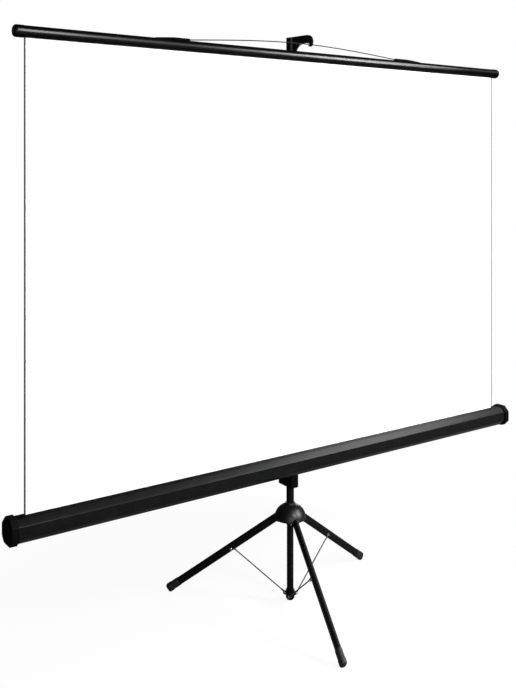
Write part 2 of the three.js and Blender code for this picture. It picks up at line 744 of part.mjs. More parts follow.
function addLeg(side, leg) {
  const capBore = legReach - footSole;
  const length = legHeadroom + capBore - seatGap;
  const bore = plate(
    roundedRectangle(legDeep - 2 * legWall, legWide - 2 * legWall, legRound - legWall),
    length + 2 * cutOverrun,
  );
  const bar = plate(roundedRectangle(legDeep, legWide, legRound), length);
  const outside = legWide + cutOverrun;
  add(`leg_${side}`, cut(
    alongLeg(bar.translate(0, 0, -legHeadroom)),
    alongLeg(bore.translate(0, 0, -legHeadroom - cutOverrun)),
    crossRod(pinAcross + 2 * runningGap, -outside, outside, pinRadiusFromMast, pinHeight),
    crossRod(rivetAcross + 2 * seatGap, -outside, outside, braceOut, braceUp),
  ), 'blackPaint', leg);

  const end = legReach + footEnd;
  const start = end - footLength;
  const ring = (inset, height) => roundedRectangle(
    footDeep - 2 * inset, footWide - 2 * inset, footCorner - inset,
  ).getPoints(footCornerSteps).map(({ x, y }) => new THREE.Vector3(x, y, height));
  const round = Array.from({ length: footSteps + 1 }, (_, step) => {
    const angle = step / footSteps * Math.PI / 2;
    return ring(footRound * (1 - Math.cos(angle)), end - footRound * (1 - Math.sin(angle)));
  });
  const foot = alongLeg(new ConvexGeometry([...ring(0, start), ...round.flat()]));
  const socketShape = roundedRectangle(
    legDeep + 2 * seatGap, legWide + 2 * seatGap, legRound + seatGap,
  );
  const socket = plate(socketShape, capBore - start + cutOverrun);
  const ground = box(0, footReach + footLength, -footDeep, footDeep, -footDeep, 0);
  add(`foot_cap_${side}`, cut(
    foot, alongLeg(socket.translate(0, 0, start - cutOverrun)), ground,
  ), 'rubber', leg);

  const gripEnd = cheekOutside + seatGap;
  add(`hub_pin_${side}`, rivet(
    pinAcross, pinHeadAcross, pinHeadLength, -gripEnd, gripEnd, pinRadiusFromMast, pinHeight,
  ), 'steel', leg);
  const wall = legWide / 2;
  const rivetEnd = alongY(join(
    rod(rivetAcross, -wall, wall + rivetHeadLength / 2, pinSides),
    rod(rivetHeadAcross, wall + seatGap, wall + seatGap + rivetHeadLength, pinSides),
  ));
  add(`leg_rivet_${side}`, rivetEnd.translate(braceOut, 0, braceUp), 'steel', leg);
}

const braceOffset = legWide / 2 + braceFlankGap + braceAcross / 2;

function addBrace(side, leg) {
  const run = braceOut - collarPinFromMast;
  const rise = braceUp - collarPinHeight;
  const length = Math.hypot(run, rise);
  const thick = braceEyeThickness / 2;
  const tongue = braceTongueWidth / 2;
  const eye = join(
    alongY(rod(braceEyeAcross, -thick, thick)),
    box(-tongue, tongue, -thick, thick, 0, braceTongueLength),
  );
  const farEye = eye.clone().rotateX(Math.PI).translate(0, 0, length);
  const strut = cut(
    join(rod(braceAcross, braceRodStart, length - braceRodStart, braceSides), eye, farEye),
    crossRod(braceEyeBore, -braceAcross, braceAcross, 0, 0),
    crossRod(braceEyeBore, -braceAcross, braceAcross, 0, length),
  );
  strut.rotateY(Math.atan2(run, rise)).translate(collarPinFromMast, -braceOffset, collarPinHeight);
  add(`brace_${side}`, strut, 'zinc', leg);

  const outer = -braceOffset - thick - seatGap;
  const inner = -braceOffset + thick + seatGap;
  const washer = rod(rivetHeadAcross, inner, -legWide / 2 - runningGap, pinSides);
  const pin = join(
    rod(rivetAcross, outer - rivetHeadLength / 2, inner + seatGap, pinSides), washer,
    rod(rivetHeadAcross, outer - rivetHeadLength, outer, pinSides),
  );
  add(`brace_rivet_${side}`, alongY(pin).translate(braceOut, 0, braceUp), 'steel', leg);
  add(`collar_rivet_${side}`, rivet(
    rivetAcross, rivetHeadAcross, rivetHeadLength, outer, inner + lugThickness + seatGap,
    collarPinFromMast, collarPinHeight,
  ), 'steel', leg);
}

function addLowerTube() {
  add('lower_tube', tube(lowerAcross, lowerWall, lowerFoot, lowerTop), 'blackPaint');
  const flange = rod(plugAcross, lowerFoot - seatGap - plugThickness, lowerFoot - seatGap);
  const stemAcross = lowerAcross - 2 * lowerWall - 2 * seatGap;
  const stem = rod(stemAcross, lowerFoot - plugThickness, lowerFoot + plugStem, tubeSides);
  add('tube_plug', join(flange, stem), 'blackPlastic');

  const lug = new THREE.Shape();
  lug.moveTo(0, collarPinHeight - lugRound);
  lug.lineTo(collarPinFromMast, collarPinHeight - lugRound);
  lug.absarc(collarPinFromMast, collarPinHeight, lugRound, -Math.PI / 2, Math.PI / 2);
  lug.lineTo(0, collarPinHeight + lugRound);
  const offset = -braceOffset + braceEyeThickness / 2 + seatGap + lugThickness / 2;
  const lugs = [];
  const holes = [];
  for (const heading of legHeadings) {
    lugs.push(radialPlate(lug, lugThickness, offset).rotateZ(radians(heading)));
    const [near, far] = [offset - lugThickness, offset + lugThickness];
    const hole = crossRod(rivetAcross + 2 * seatGap, near, far, collarPinFromMast, collarPinHeight);
    holes.push(hole.rotateZ(radians(heading)));
  }
  const top = baseCollarBottom + baseCollarLength;
  const sleeve = rod(baseCollarAcross, baseCollarBottom, top, tubeSides);
  const [under, over] = [baseCollarBottom - cutOverrun, top + cutOverrun];
  const bore = rod(lowerAcross + 2 * seatGap, under, over, tubeSides);
  add('base_collar', cut(join(sleeve, ...lugs), bore, ...holes), 'blackPlastic');
}

function addTripod() {
  addHub();
  addDome();
  addLowerTube();
  legHeadings.forEach((heading, index) => {
    const leg = new THREE.Group();
    leg.rotation.z = radians(heading);
    screen.add(leg);
    addLeg(legSides[index], leg);
    addBrace(legSides[index], leg);
  });
}

addCloth();
addCase();
addRoller();
addBar();
addBail();
addHook();
addMast();
addCollar();
addCarriage();
addPivot();
addTripod();

// The origin is on the floor under the middle of the whole
const whole = new THREE.Box3().setFromObject(screen);
screen.position.y = -(whole.min.y + whole.max.y) / 2;

export default group;
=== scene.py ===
"""The finished look of a tripod projector screen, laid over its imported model, in metres.

The mast stands at x 0. The audience is on the -Y side, and the floor is z 0.
"""

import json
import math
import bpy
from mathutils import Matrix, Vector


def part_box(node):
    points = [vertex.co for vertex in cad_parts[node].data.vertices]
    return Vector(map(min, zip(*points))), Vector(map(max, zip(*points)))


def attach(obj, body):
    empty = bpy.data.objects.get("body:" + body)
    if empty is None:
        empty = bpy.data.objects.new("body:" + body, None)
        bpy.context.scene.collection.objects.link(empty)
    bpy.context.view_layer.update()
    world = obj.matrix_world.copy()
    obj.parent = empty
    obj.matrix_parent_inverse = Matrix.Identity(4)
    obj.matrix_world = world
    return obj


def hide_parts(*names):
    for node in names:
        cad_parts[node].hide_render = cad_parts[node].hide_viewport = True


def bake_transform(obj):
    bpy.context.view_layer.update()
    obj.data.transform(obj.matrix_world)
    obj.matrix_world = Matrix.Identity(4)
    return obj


bl_info = {
    "name": "Tripod Projector Screen",
    "version": (1, 0, 0),
    "blender": (4, 5, 0),
    "location": "3D View > Sidebar > Screen",
    "description": "Builds the cloth, case, mast, tripod and small fittings of a portable projector screen",
    "category": "Object",
}

import bmesh
import bpy
from bpy.props import FloatProperty, FloatVectorProperty, IntProperty, PointerProperty
from bpy.types import Operator, Panel, PropertyGroup
from mathutils import Matrix, Vector, noise

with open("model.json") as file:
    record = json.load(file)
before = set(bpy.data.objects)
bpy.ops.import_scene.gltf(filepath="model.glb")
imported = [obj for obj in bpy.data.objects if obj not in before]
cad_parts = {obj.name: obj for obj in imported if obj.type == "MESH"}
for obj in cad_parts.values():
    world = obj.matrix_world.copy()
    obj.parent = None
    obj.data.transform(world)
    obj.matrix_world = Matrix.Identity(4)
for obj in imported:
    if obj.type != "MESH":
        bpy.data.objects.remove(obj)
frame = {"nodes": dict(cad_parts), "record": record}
NODES = frame["nodes"]
BODIES = frame["record"]["behaviour"]["bodies"]
BODY_OF = {node: body for body, nodes in BODIES.items() for node in nodes}
SLOT_OF = {part["node"]: part["material_slot"] for part in frame["record"]["subparts"]}
MM = 0.001


def low(node):
    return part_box(node)[0]


def high(node):
    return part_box(node)[1]


def centre(node):
    return (low(node) + high(node)) / 2


def size(node):
    return high(node) - low(node)


MAST = centre("mast_tube")
MAST_PLACE = Matrix.Translation((MAST.x, MAST.y, 0))
LEGS = {"left": math.radians(134.9), "front": math.radians(254.9), "right": math.radians(14.9)}
PIN_OUT, PIN_UP = 38 * MM, 262 * MM  # the legs' hub pins, out from the mast and up from the floor
LEG_TOP_UP = 271.7 * MM  # the leg's axis over its hub pin
FOOT_OUT, FOOT_UP = 399.6 * MM, 10.5 * MM  # the middle of a foot's end
COLLAR_PIN_OUT, COLLAR_PIN_UP = 18 * MM, 24 * MM
LEG_RUN = math.hypot(FOOT_OUT - PIN_OUT, LEG_TOP_UP - FOOT_UP)
LEG_TILT = math.atan2(FOOT_OUT - PIN_OUT, FOOT_UP - LEG_TOP_UP)
BRACE_ALONG, BRACE_BELOW = 192 * MM, 4.75 * MM  # the brace's rivet, along the leg and under its axis
BRACE_ASIDE = 10.5 * MM  # the brace's middle plane, beside the leg's
LEG_DEEP, LEG_WIDE, LEG_ROUND = 24.5 * MM, 16 * MM, 7.5 * MM  # the legs' flattened section
BRACE_OUT = PIN_OUT + math.sin(LEG_TILT) * BRACE_ALONG + math.cos(LEG_TILT) * BRACE_BELOW
BRACE_UP = LEG_TOP_UP + math.cos(LEG_TILT) * BRACE_ALONG - math.sin(LEG_TILT) * BRACE_BELOW
CASE_CUT = 15.5 * MM  # what a sloping face takes off the case's corner
CASE_WALL, CASE_SLOT = 1 * MM, 7 * MM
SIDES = ((-1, "left"), (1, "right"))  # the way along X, and the name


# Sizes and colours


def distance(name, description, default):
    return FloatProperty(name=name, description=description, default=default, min=0.0, subtype="DISTANCE")


def tint(name, description, default):
    return FloatVectorProperty(
        name=name, description=description, default=default, min=0.0, max=1.0, subtype="COLOR")


class ScreenSizes(PropertyGroup):
    """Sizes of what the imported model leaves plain"""

    edge_line: distance("Edge Line", "Width of the dark line down each side of the cloth", 4.8 * MM)
    cloth_wave: distance("Cloth Wave", "How far the hanging cloth stands out of flat", 1.2 * MM)
    case_edge: distance("Case Edge", "Radius of the case's long folded edges", 2.2 * MM)
    case_lip: distance("Slot Lip", "Depth of the lips folded in at the cloth's slot", 4 * MM)
    cap_edge: distance("Cap Edge", "Radius of the end caps' corners", 5 * MM)
    moulded_edge: distance("Moulded Edge", "Round on the edges of moulded fittings", 1.1 * MM)
    small_edge: distance("Small Edge", "Round on the edges of bolts, pins and plates", 0.35 * MM)
    pipe_sides: IntProperty(
        name="Pipe Sides", description="Faces round each tube", default=56, min=12)
    spring_turns: IntProperty(
        name="Spring Turns", description="Turns of the roller's spring", default=84, min=4)


class ScreenColours(PropertyGroup):
    """Colours of the finishes, linear"""

    cloth: tint("Cloth", "Matt white face", (0.93, 0.93, 0.925))
    backing: tint("Backing", "Light-tight back of the cloth", (0.03, 0.031, 0.033))
    case: tint("Case", "Charcoal paint", (0.0031, 0.0034, 0.0033))
    paint: tint("Tube Paint", "Black paint of mast and legs", (0.0034, 0.0034, 0.0035))
    bar: tint("Bar Paint", "Gloss black of the top bar", (0.0012, 0.0012, 0.0012))
    plastic: tint("Plastic", "Moulded black", (0.0014, 0.0014, 0.00145))
    rubber: tint("Rubber", "Foot caps", (0.0034, 0.0034, 0.0034))
    steel: tint("Steel", "Bright pins and rivets", (0.62, 0.62, 0.61))
    wire: tint("Wire", "Dark drawn steel of the bail", (0.02, 0.02, 0.02))
    zinc: tint("Zinc", "Plated braces, bolts and plates", (0.24, 0.243, 0.246))
    floor: tint("Floor", "Studio floor", (0.9, 0.9, 0.9))


# Shader nodes and groups


def node(tree, kind, links=None, **settings):
    """A node with its settings; links maps its inputs to sockets or values."""
    made = tree.nodes.new(kind)
    for key, value in settings.items():
        setattr(made, key, value)
    for key, value in (links or {}).items():
        socket = made.inputs[key]
        if isinstance(value, bpy.types.NodeSocket):
            tree.links.new(value, socket)
        else:
            socket.default_value = value
    return made


def own_place(tree):
    """The surface's own place, in metres."""
    return node(tree, "ShaderNodeTexCoord").outputs["Object"]


def own_x(tree):
    return node(tree, "ShaderNodeSeparateXYZ", {0: own_place(tree)}).outputs["X"]


def scaled_place(tree, scale):
    """The surface's own place times a scale along each axis."""
    links = {0: own_place(tree), 1: scale}
    return node(tree, "ShaderNodeVectorMath", links, operation="MULTIPLY").outputs[0]


def clouds(tree, place, scale, detail, roughness):
    """Soft noise from 0 to 1."""
    return node(tree, "ShaderNodeTexNoise", {
        "Vector": place, "Scale": scale, "Detail": detail, "Roughness": roughness,
    }).outputs["Fac"]


def math_of(tree, operation, *values):
    return node(tree, "ShaderNodeMath", dict(enumerate(values)), operation=operation).outputs[0]


def product(tree, a, b):
    return math_of(tree, "MULTIPLY", a, b)


def range_of(tree, value, start, end):
    """The value turned into a mask from 0 at start to 1 at end."""
    return node(tree, "ShaderNodeMapRange", {
        "Value": value, "From Min": start, "From Max": end,
    }, interpolation_type="SMOOTHSTEP").outputs[0]


def between(tree, factor, a, b):
    """The number a turning into b by the factor."""
    return node(tree, "ShaderNodeMapRange", {"Value": factor, "To Min": a, "To Max": b}).outputs[0]


def mixed(tree, factor, a, b):
    """Colour a turning into b by the factor."""
    mix = node(tree, "ShaderNodeMix", data_type="RGBA")
    for index, value in ((0, factor), (6, a), (7, b)):
        if isinstance(value, bpy.types.NodeSocket):
            tree.links.new(value, mix.inputs[index])
        else:
            mix.inputs[index].default_value = value if index == 0 else (*value, 1.0)
    return mix.outputs[2]


def new_group(name, inputs, outputs):
    """An empty group with named sockets; gives the tree, its input node and its output node."""
    tree = bpy.data.node_groups.new(name, "ShaderNodeTree")
    for label, kind, default in inputs:
        socket = tree.interface.new_socket(label, in_out="INPUT", socket_type=kind)
        socket.default_value = default
    for label, kind in outputs:
        tree.interface.new_socket(label, in_out="OUTPUT", socket_type=kind)
    return tree, tree.nodes.new("NodeGroupInput"), tree.nodes.new("NodeGroupOutput")


def give(tree, outs, **values):
    """Lead values to a group's outputs; gives the group's tree."""
    for label, value in values.items():
        tree.links.new(value, outs.inputs[label])
    return tree


def bumped(tree, height, depth, strength):
    """The normal that a height gives."""
    links = {"Height": height, "Distance": depth, "Strength": strength}
    return node(tree, "ShaderNodeBump", links).outputs["Normal"]


FLOAT, VECTOR = "NodeSocketFloat", "NodeSocketVector"


def grain_group():
    """Fine grain of paint, plastic and rubber, as a normal."""
    tree, ins, outs = new_group(
        "fine_grain", [("Grain per Metre", FLOAT, 900.0), ("Depth", FLOAT, 0.0001)], [("Normal", VECTOR)])
    speck = clouds(tree, own_place(tree), ins.outputs["Grain per Metre"], 3.0, 0.6)
    return give(tree, outs, Normal=bumped(tree, speck, ins.outputs["Depth"], 1.0))


def handling_group():
    """Rubbed edges and smudges from handling, as two masks."""
    tree, ins, outs = new_group(
        "handling_wear", [("Rub", FLOAT, 0.5), ("Patch per Metre", FLOAT, 30.0)],
        [("Rubbed", FLOAT), ("Smudge", FLOAT)])
    patch = clouds(tree, own_place(tree), ins.outputs["Patch per Metre"], 5.0, 0.62)
    edge = range_of(tree, node(tree, "ShaderNodeNewGeometry").outputs["Pointiness"], 0.52, 0.62)
    worn = product(tree, edge, range_of(tree, patch, 0.45, 0.7))
    return give(tree, outs, Rubbed=product(tree, worn, ins.outputs["Rub"]), Smudge=patch)


def dust_group():
    """A thin film of dust on what faces up."""
    tree, ins, outs = new_group("dust_film", [("Amount", FLOAT, 0.2)], [("Dust", FLOAT)])
    normal = node(tree, "ShaderNodeNewGeometry").outputs["Normal"]
    facing = range_of(tree, node(tree, "ShaderNodeSeparateXYZ", {0: normal}).outputs["Z"], 0.35, 0.95)
    cloud = clouds(tree, scaled_place(tree, (9.0, 9.0, 9.0)), 1.0, 6.0, 0.7)
    film = product(tree, facing, range_of(tree, cloud, 0.3, 0.75))
    return give(tree, outs, Dust=product(tree, film, ins.outputs["Amount"]))


def streak_group():
    """Drawn or rolled streaks: a value and a normal."""
    tree, ins, outs = new_group(
        "drawn_streaks", [("Scale", VECTOR, (1.0, 1.0, 1.0)), ("Depth", FLOAT, 0.00002)],
        [("Streak", FLOAT), ("Normal", VECTOR)])
    streak = clouds(tree, scaled_place(tree, ins.outputs["Scale"]), 1.0, 4.0, 0.65)
    return give(tree, outs, Streak=streak, Normal=bumped(tree, streak, ins.outputs["Depth"], 0.7))


def weave_group():
    """Plain weave in the X-Z plane: a height and a normal."""
    tree, ins, outs = new_group(
        "plain_weave", [("Threads per Metre", FLOAT, 1400.0), ("Depth", FLOAT, 0.00008)],
        [("Height", FLOAT), ("Normal", VECTOR)])
    axes = node(tree, "ShaderNodeSeparateXYZ", {0: own_place(tree)})
    threads = []
    for axis in ("X", "Z"):
        turns = product(tree, axes.outputs[axis], ins.outputs["Threads per Metre"])
        wave = math_of(tree, "SINE", product(tree, turns, math.pi))
        threads.append(math_of(tree, "ABSOLUTE", wave))
    height = math_of(tree, "MAXIMUM", *threads)
    return give(tree, outs, Height=height, Normal=bumped(tree, height, ins.outputs["Depth"], 0.5))


GROUPS = {}


def make_groups():
    GROUPS.update(
        grain=grain_group(), handling=handling_group(), dust=dust_group(), streaks=streak_group(),
        weave=weave_group())


def group(tree, name, **inputs):
    made = tree.nodes.new("ShaderNodeGroup")
    made.node_tree = GROUPS[name]
    for label, value in inputs.items():
        made.inputs[label.replace("_", " ")].default_value = value
    return made.outputs


# Materials


THREADS = 1400.0  # per metre of cloth
BARE_METAL, WORN_RUBBER, DUST = (0.09, 0.09, 0.09), (0.05, 0.05, 0.05), (0.16, 0.155, 0.15)
# The case top's own near-black, and the lighter tone painted on along X as a reflection
CASE_TOP_BASE, CASE_TOP_PAINTED_SHEEN = (0.0015, 0.0016, 0.0016), (0.046, 0.048, 0.047)
FINISHES = {}


def blank(name):
    """A material with one Principled shader; gives the material, its tree and the shader."""
    material = bpy.data.materials.new(name)
    material.use_nodes = True
    tree = material.node_tree
    return material, tree, tree.nodes["Principled BSDF"]


def lead(tree, shader, base, roughness, normal, **uniform):
    """Lead what varies into a shader and set what is uniform on it."""
    for label, value in (("Base Color", base), ("Roughness", roughness), ("Normal", normal)):
        tree.links.new(value, shader.inputs[label])
    for label, value in uniform.items():
        shader.inputs[label.replace("_", " ")].default_value = value


def shades(colour, *factors):
    """The colour times each of the factors."""
    return [[min(1.0, c * factor) for c in colour] for factor in factors]


def black_finish(name, colour, roughness, shine, grain, depth, rub, dust, rubbed_colour=BARE_METAL):
    """Paint, plastic or rubber: grain, smudged gloss, rubbed edges and dust."""
    material, tree, shader = blank(name)
    fine = group(tree, "grain", Grain_per_Metre=grain, Depth=depth)
    worn = group(tree, "handling", Rub=rub)
    film = group(tree, "dust", Amount=dust)
    base = mixed(tree, worn["Smudge"], *shades(colour, 0.9, 1.1))
    base = mixed(tree, worn["Rubbed"], base, rubbed_colour)
    base = mixed(tree, film["Dust"], base, DUST)
    smudged = between(tree, worn["Smudge"], roughness * 0.97, roughness * 1.03)
    lead(tree, shader, base, smudged, fine["Normal"], Specular_IOR_Level=shine)
    return material


def metal_finish(name, colour, roughness, streaks, depth, tarnish):
    """Bare or plated metal with drawn streaks and light tarnish."""
    material, tree, shader = blank(name)
    drawn = group(tree, "streaks", Scale=streaks, Depth=depth)
    worn = group(tree, "handling", Rub=0.0, Patch_per_Metre=60.0)
    dark, bright, tarnished = shades(colour, 0.82, 1.12, 0.45)
    spots = product(tree, range_of(tree, worn["Smudge"], 0.5, 0.75), tarnish)
    base = mixed(tree, spots, mixed(tree, drawn["Streak"], dark, bright), tarnished)
    smudged = between(tree, worn["Smudge"], roughness * 0.75, roughness * 1.3)
    lead(tree, shader, base, smudged, drawn["Normal"], Metallic=1.0)
    return material


def cloth_face(colour):
    """The white, matt face that is projected on."""
    material, tree, shader = blank("cloth_white")
    weave = group(tree, "weave", Threads_per_Metre=THREADS, Depth=0.00006)
    worn = group(tree, "handling", Rub=0.0, Patch_per_Metre=2.5)
    soiled, shaded = shades(colour, 0.985, 0.99)
    base = mixed(tree, weave["Height"], shaded, mixed(tree, worn["Smudge"], soiled, colour))
    roughness = between(tree, worn["Smudge"], 0.88, 0.96)
    lead(tree, shader, base, roughness, weave["Normal"], Specular_IOR_Level=0.1)
    return material


def cloth_dark(colour):
    """The cloth's dark backing, faded in large patches, with painted shade and light in the weave."""
    material, tree, shader = blank("cloth_backing")
    weave = group(tree, "weave", Threads_per_Metre=THREADS, Depth=0.0001)
    worn = group(tree, "handling", Rub=0.0, Patch_per_Metre=4.0)
    # sunk threads darker as painted shade, raised threads lighter as painted light; the faded patches are
    # wear
    sunk, raised, faded = shades(colour, 0.8, 1.15, 1.5)
    patches = range_of(tree, worn["Smudge"], 0.55, 0.8)
    base = mixed(tree, patches, mixed(tree, weave["Height"], sunk, raised), faded)
    roughness = between(tree, worn["Smudge"], 0.75, 0.9)
    lead(tree, shader, base, roughness, weave["Normal"], Specular_IOR_Level=0.25)
    return material


def floor_finish(colour):
    """A pale floor that the camera sees as the white backdrop, with the shadow kept near the feet."""
    material, tree, shader = blank("studio_floor")
    seen = node(tree, "ShaderNodeLightPath").outputs["Is Camera Ray"]
    clouded, dim = shades(colour, 0.99, 0.2)
    pale = mixed(tree, clouds(tree, own_place(tree), 0.8, 3.0, 0.5), clouded, colour)
    tree.links.new(mixed(tree, seen, dim, pale), shader.inputs["Base Color"])
    shader.inputs["Roughness"].default_value = 0.9
    shader.inputs["Specular IOR Level"].default_value = 0.0
    white = node(tree, "ShaderNodeEmission", {"Color": (1.0, 1.0, 1.0, 1.0), "Strength": 1.0})
    links = {0: own_place(tree)}
    away = node(tree, "ShaderNodeVectorMath", links, operation="LENGTH").outputs["Value"]
    share = between(tree, range_of(tree, away, 0.5, 1.6), 0.92, 1.0)
    mix = node(tree, "ShaderNodeMixShader", {
        0: product(tree, seen, share), 1: shader.outputs[0], 2: white.outputs[0],
    })
    tree.links.new(mix.outputs[0], tree.nodes["Material Output"].inputs["Surface"])
    return material


def fade_polish(material, shine, dull, bright_to, dull_from):
    """Let the gloss fade along X, towards the right end."""
    tree = material.node_tree
    fade = between(tree, range_of(tree, own_x(tree), bright_to, dull_from), shine, dull)
    tree.links.new(fade, tree.nodes["Principled BSDF"].inputs["Specular IOR Level"])


def paint_top_sheen(material, plain_top, painted_sheen):
    """Painted reflection on the case's top face: a lighter tone along X, most of it right of the middle."""
    tree = material.node_tree
    along = own_x(tree)
    sheen_falloff = between(tree, range_of(tree, along, 0.5, 0.85), 1.0, 0.4)
    share = product(tree, range_of(tree, along, -0.45, 0.45), sheen_falloff)
    tree.links.new(mixed(tree, share, plain_top, painted_sheen), tree.nodes["Principled BSDF"].inputs["Base Color"])


def make_finishes(c):
    """All finishes from the colours c, by the names of the model's slots or of their own."""
    brace = [value * 0.45 for value in c.zinc]
    # material, colour, roughness, shine, grains per metre, their depth, rub, dust
    blacks = {
        "case_paint": ("case_charcoal", c.case, 0.31, 0.16, 1100.0, 0.00002, 0.03, 0.002),
        "black_paint": ("tube_black", c.paint, 0.34, 0.11, 900.0, 0.00001, 0.02, 0.002),
        "bar_paint": ("bar_gloss_black", c.bar, 0.27, 0.28, 700.0, 0.000005, 0.02, 0.001),
        "bar_top": ("bar_matt_black", c.bar, 0.6, 0.02, 1400.0, 0.00002, 0.02, 0.001),
        "case_top": ("case_matt_top", CASE_TOP_BASE, 0.7, 0.02, 1400.0, 0.00002, 0.02, 0.0),
        "black_plastic": ("moulded_black", c.plastic, 0.4, 0.1, 1800.0, 0.00003, 0.03, 0.002),
        "cap_plastic": ("cap_black", c.plastic, 0.55, 0.05, 1800.0, 0.00003, 0.03, 0.002),
        "dome_plastic": ("dome_black", c.plastic, 0.4, 0.45, 1800.0, 0.00003, 0.03, 0.002),
        "foot_rubber": ("foot_rubber", c.rubber, 0.55, 0.5, 1300.0, 0.00005, 0.05, 0.01, WORN_RUBBER),
    }
    # material, colour, roughness, streaks per metre along each axis, their depth, tarnish
    metals = {
        "bright_steel": ("bright_steel", c.steel, 0.22, (300.0, 300.0, 300.0), 0.00001, 0.2),
        "bail_wire": ("bail_wire_steel", c.wire, 0.6, (12.0, 300.0, 300.0), 0.000002, 0.6),
        "brace_steel": ("brace_dull_zinc", brace, 0.55, (40.0, 40.0, 40.0), 0.000002, 0.3),
        "zinc_steel": ("zinc_plate", c.zinc, 0.5, (60.0, 60.0, 60.0), 0.000002, 0.3),
    }
    FINISHES.update({finish: black_finish(*row) for finish, row in blacks.items()})
    FINISHES.update({finish: metal_finish(*row) for finish, row in metals.items()})
    FINISHES.update(cloth_front=cloth_face(c.cloth[:]), cloth_back=cloth_dark(c.backing[:]))
    fade_polish(FINISHES["bar_paint"], 0.28, 0.015, 0.42, 0.78)
    # the case top's colour gets a painted reflection, brightest right of the middle
    paint_top_sheen(FINISHES["case_top"], CASE_TOP_BASE, CASE_TOP_PAINTED_SHEEN)


# Mesh tools


def in_scene(data):
    """A new object named after its data, linked to the scene."""
    made = bpy.data.objects.new(data.name, data)
    bpy.context.scene.collection.objects.link(made)
    return made


def link_piece(mesh, finishes, source, sharp=32.0, ride=True):
    """A piece named as its mesh, in place of a node: smooth but for edges over so many degrees.

    It rides on the node's body, unless ride is false.
    """
    for finish in finishes:
        mesh.materials.append(FINISHES[finish])
    mesh.polygons.foreach_set("use_smooth", [True] * len(mesh.polygons))
    mesh.set_sharp_from_angle(angle=math.radians(sharp))
    piece = in_scene(mesh)
    if ride:
        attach(piece, BODY_OF[source])
    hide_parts(source)
    return piece


def settled(bm, mesh):
    """The mesh filled from a bmesh, with doubles merged and faces turned outwards."""
    bmesh.ops.remove_doubles(bm, verts=bm.verts, dist=1e-7)
    bmesh.ops.recalc_face_normals(bm, faces=bm.faces)
    bm.to_mesh(mesh)
    bm.free()
    return mesh


def new_mesh(name, points, faces, place=None):
    mesh = bpy.data.meshes.new(name)
    if place is not None:
        points = [place @ Vector(p) for p in points]
    mesh.from_pydata([tuple(p) for p in points], [], faces)
    bm = bmesh.new()
    bm.from_mesh(mesh)
    return settled(bm, mesh)


def tube_faces(rings, sides, closed_rings, caps):
    """Quads between rings of points; the last ring joins the first if closed, or the ends are capped."""
    faces = []
    for ring in range(rings if closed_rings else rings - 1):
        after = (ring + 1) % rings
        for side in range(sides):
            following = (side + 1) % sides
            faces.append((
                ring * sides + side, ring * sides + following,
                after * sides + following, after * sides + side,
            ))
    if caps:
        faces.append(tuple(range(sides)))
        faces.append(tuple((rings - 1) * sides + side for side in range(sides)))
    return faces


def circle(count):
    """The cosine and sine of each of so many even steps round."""
    angles = [2 * math.pi * step / count for step in range(count)]
    return [(math.cos(angle), math.sin(angle)) for angle in angles]


def quarter(steps):
    """The cosine and sine of even steps from 0 to 90 degrees."""
    return circle(4 * steps)[:steps + 1]


def lathe(name, profile, sides, place=None, closed=False):
    """A profile of (radius, height) turned about Z. An open profile's end rings are capped."""
    points = [(radius * c, radius * s, height) for radius, height in profile for c, s in circle(sides)]
    return new_mesh(name, points, tube_faces(len(profile), sides, closed, not closed), place)


def drill(radius, reach, place, sides=24):
    """A cutter that reaches as far to both sides of its place."""
    return lathe("drill", [(radius, -reach), (radius, reach)], sides, place)


def pipe_profile(outer, wall, bottom, top, edge=0.25 * MM):
    """The closed section of a pipe's wall, its ends eased."""
    inner = outer - wall
    return [
        (inner, bottom + edge), (inner + edge, bottom), (outer - edge, bottom), (outer, bottom + edge),
        (outer, top - edge), (outer - edge, top), (inner + edge, top), (inner, top - edge),
    ]


def drilled(mesh, cutters):
    """The mesh with the cutter meshes taken out of it."""
    target = in_scene(mesh)
    tools = []
    for cutter in cutters:
        tool = in_scene(cutter)
        modifier = target.modifiers.new("drill", "BOOLEAN")
        modifier.operation = "DIFFERENCE"
        modifier.solver = "EXACT"
        modifier.object = tool
        tools.append(tool)
    bpy.context.view_layer.update()
    graph = bpy.context.evaluated_depsgraph_get()
    result = bpy.data.meshes.new_from_object(target.evaluated_get(graph))
    name = mesh.name
    for used in [target, *tools]:
        data = used.data
        bpy.data.objects.remove(used)
        bpy.data.meshes.remove(data)
    result.name = name
    return result


def dress(source, name, edge, finish=None, segments=2):
    """A copy of a node in its place, with its flat faces whole and its sharp edges rounded."""
    bm = bmesh.new()
    bm.from_mesh(NODES[source].data)
    bmesh.ops.remove_doubles(bm, verts=bm.verts, dist=1e-6)
    bmesh.ops.dissolve_limit(bm, angle_limit=math.radians(0.8), verts=bm.verts, edges=bm.edges)
    hard = [e for e in bm.edges if len(e.link_faces) == 2 and e.calc_face_angle(0.0) > math.radians(33)]
    bmesh.ops.bevel(
        bm, geom=hard, offset=edge, segments=segments, profile=0.5, affect="EDGES", clamp_overlap=True)
    mesh = settled(bm, bpy.data.meshes.new(name))
    link_piece(mesh, [finish or SLOT_OF[source]], source)


ALONG_X = Matrix.Rotation(math.pi / 2, 4, "Y")
ALONG_Y = Matrix.Rotation(-math.pi / 2, 4, "X")


def heading_place(heading):
    """From a leg's own upright plane, X out from the mast, to the frame."""
    return MAST_PLACE @ Matrix.Rotation(heading, 4, "Z")


def tilted_place(heading, out, aside, up, tilt):
    """A place in a leg's own plane with its Z tilted outwards."""
    return heading_place(heading) @ Matrix.Translation((out, aside, up)) @ Matrix.Rotation(tilt, 4, "Y")


def cross_place(heading, out, up):
    """From a pin's own Z to across a leg's upright plane, at a place out and up."""
    return heading_place(heading) @ Matrix.Translation((out, 0, up)) @ ALONG_Y


def cap_place(source, side):
    """From a cap drawn along +X out of its inner end to its place; side is -1 at the left, 1 at the right."""
    inner_end = high(source).x if side < 0 else low(source).x
    middle = centre(source)
    return Matrix.Translation((inner_end, middle.y, middle.z)) @ Matrix.Scale(side, 4, (1, 0, 0))


